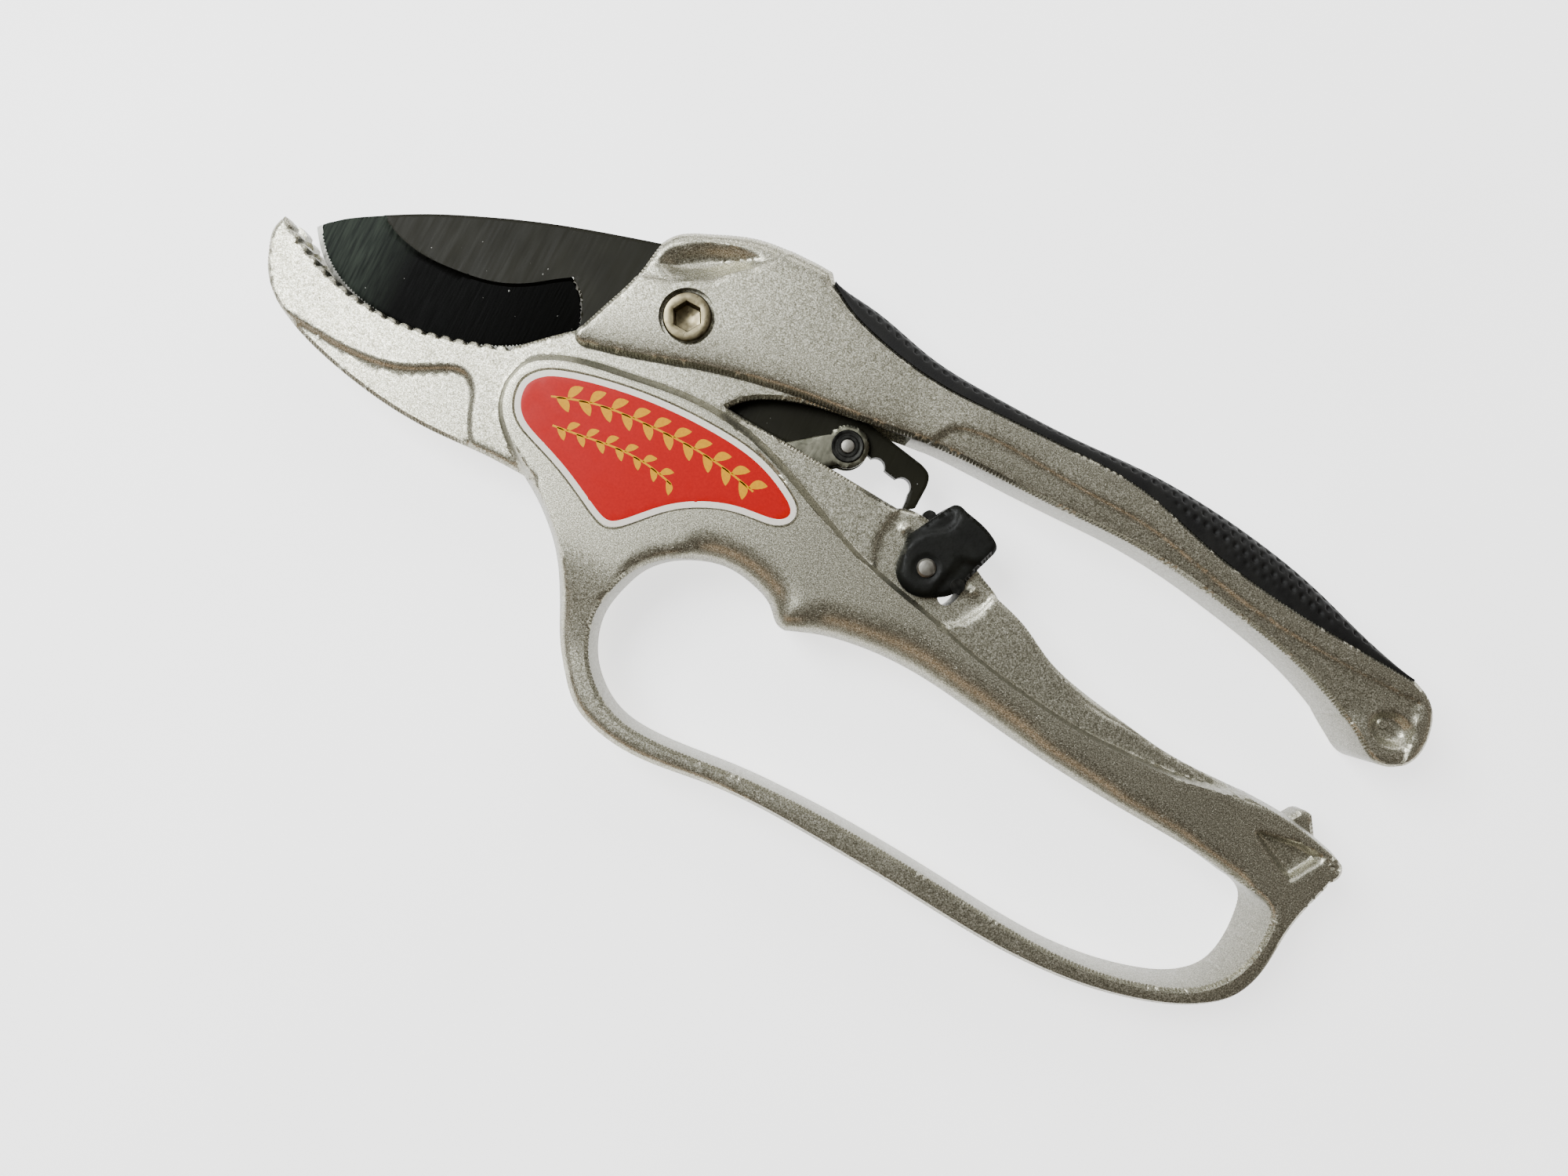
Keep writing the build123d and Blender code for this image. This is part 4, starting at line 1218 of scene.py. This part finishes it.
def label_pieces():
    loop = label_outline()
    border = film("label_border", shrunk(loop, BORDER_MARGIN), GRIP_HALF - LABEL_DEPTH,
                  LABEL_TOP - 0.02)
    field = film("label_field", shrunk(loop, FIELD_MARGIN), LABEL_TOP - 0.15, LABEL_TOP + 0.01)
    return border, field


# ---- CAD nodes that stay ------------------------------------------------------------------
def soften(node, width):
    """Rounds the edges of a CAD node that stays, without touching its mesh."""
    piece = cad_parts[node]
    piece.modifiers.new("weld", "WELD").merge_threshold = 2e-6
    bevel = piece.modifiers.new("bevel", "BEVEL")
    bevel.width = width * MM
    bevel.segments = 2
    bevel.limit_method = "ANGLE"
    bevel.angle_limit = math.radians(40)
    bevel.harden_normals = False


def paint_node(node, material):
    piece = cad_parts[node]
    piece.data.materials.clear()
    piece.data.materials.append(material)


KEPT_NODES = [("handle_pivot_stubs", STEEL, 0.12), ("pawl_pivot_pin", STEEL, 0.12),
              ("pawl_spacer", STEEL, 0.12), ("latch_spacers", STEEL, 0.12),
              ("blade_bushing", STEEL, 0.12), ("latch_guide_pin", BLACK_STEEL, 0.12),
              ("thrust_washers", NICKEL, 0.08), ("latch_hook", BLACK_STEEL, 0.15),
              ("opening_spring", STEEL, None), ("pawl_spring", STEEL, None)]


# ---- camera, light and floor --------------------------------------------------------------
def aim(thing, target):
    thing.rotation_euler = (Vector(target) - thing.location).to_track_quat("-Z", "Y").to_euler()


def area_light(name, place, target, size, watts, colour=(1, 1, 1)):
    data = bpy.data.lights.new(name, "AREA")
    data.shape = "RECTANGLE"
    data.size, data.size_y = size
    data.energy = watts
    data.color = colour
    light = add_object(name, data)
    light.location = place
    aim(light, target)


CAMERA_PLACE = (34.2, -31.2, 215)
CAMERA_TURN = 28
CAMERA_LENS = 29.6


def make_camera():
    """Straight above the tool, turned so that it lies across the view."""
    data = bpy.data.cameras.new("camera")
    data.sensor_width = 36
    data.lens = CAMERA_LENS
    data.clip_end = 10
    camera = add_object("camera", data)
    camera.location = in_frame(CAMERA_PLACE)
    camera.rotation_euler = (0, 0, math.radians(CAMERA_TURN))
    bpy.context.scene.camera = camera


def make_floor():
    """Glowing white paper, so that the ground shows white."""
    mesh = bpy.data.meshes.new("floor")
    half = 3.0
    corners = [(-half, -half, 0), (half, -half, 0), (half, half, 0), (-half, half, 0)]
    mesh.from_pydata(corners, [], [(0, 1, 2, 3)])
    floor = add_object("floor", mesh)
    s = Shader("floor_paper", Roughness=0.9)
    paper = s.ramp(s.noise(60, 3), (0.3, 0.88), (0.7, 0.92))
    mesh.materials.append(s.set(Base_Color=paper, Emission_Color=paper, Emission_Strength=2.1))


WINDOW_SIDE = (-0.62, 0.5, 0.6)       # towards the bright side of the room
WORLD_TONES = [(0.0, (0.05, 0.034, 0.018)), (0.45, (0.13, 0.106, 0.074)),
               (0.95, (0.62, 0.63, 0.63))]


def make_world():
    """A dim warm room, bright towards the window's side."""
    world = bpy.data.worlds.new("studio")
    world.use_nodes = True
    tree = world.node_tree
    side = tree.nodes.new("ShaderNodeVectorMath")
    side.operation = "DOT_PRODUCT"
    side.inputs[1].default_value = WINDOW_SIDE
    tree.links.new(tree.nodes.new("ShaderNodeTexCoord").outputs["Generated"], side.inputs[0])
    back = tree.nodes["Background"]
    tree.links.new(add_ramp(tree, side.outputs["Value"], WORLD_TONES), back.inputs["Color"])
    back.inputs["Strength"].default_value = 1.0
    bpy.context.scene.world = world


make_camera()
make_floor()
make_world()
area_light("key", (-0.35, 0.05, 0.5), (-0.09, 0, 0), (0.28, 0.34), 5.2, (0.95, 0.98, 1))
area_light("back", (-0.1, 0.7, 0.5), (0, 0, 0), (0.9, 0.3), 3.2)
area_light("side", (0.75, 0.1, 0.4), (0, 0, 0), (0.5, 0.5), 0.3, (1, 0.85, 0.7))
area_light("front", (-0.1, -0.8, 0.35), (0, 0, 0), (1.0, 0.25), 1.0, (1, 0.7, 0.48))

finish_piece(lower_casting(), "lower_handle", SILVER, "lower_handle", slot="cast_paint")
finish_piece(stop_lug(), "lower_handle", SILVER, slot="cast_paint")
finish_piece(upper_casting(), "upper_handle", SILVER, "upper_handle", slot="cast_paint")
finish_piece(rubber_grip(), "upper_handle", RUBBER, "grip_insert", slot="rubber")
finish_piece(blade_plate(), "blade", None, "blade", slot="blade_steel")
finish_piece(socket_bolt(), "upper_handle", NICKEL, "blade_bolt", slot="nickel")
finish_piece(slotted_nut(), "upper_handle", NICKEL, "blade_nut", slot="nickel")
finish_piece(ratchet_link("ratchet_link_front", 1), "pawl", ZINC, "pawl_link_front",
             slot="zinc_plate")
finish_piece(ratchet_link("ratchet_link_rear", -1), "pawl", ZINC, "pawl_link_rear",
             slot="zinc_plate")
finish_piece(retaining_rings(), "pawl", BLACK_STEEL, "pawl_clips", slot="black_steel")
finish_piece(shouldered_pin(), "pawl", STEEL, "ratchet_pin", slot="pin_steel")
finish_piece(latch_rivet(), "lower_handle", STEEL, "latch_pin", slot="pin_steel")
finish_piece(thumb_lever(), "latch", PLASTIC, "latch_lever", slot="latch_plastic")
border, field = label_pieces()
finish_piece(border, "lower_handle", CREAM, "label", slot="label")
finish_piece(field, "lower_handle", RED, slot="label")
finish_piece(label_ornament(), "lower_handle", YELLOW, slot="label")
for node, material, rounding in KEPT_NODES:
    paint_node(node, material)
    if rounding:
        soften(node, rounding)
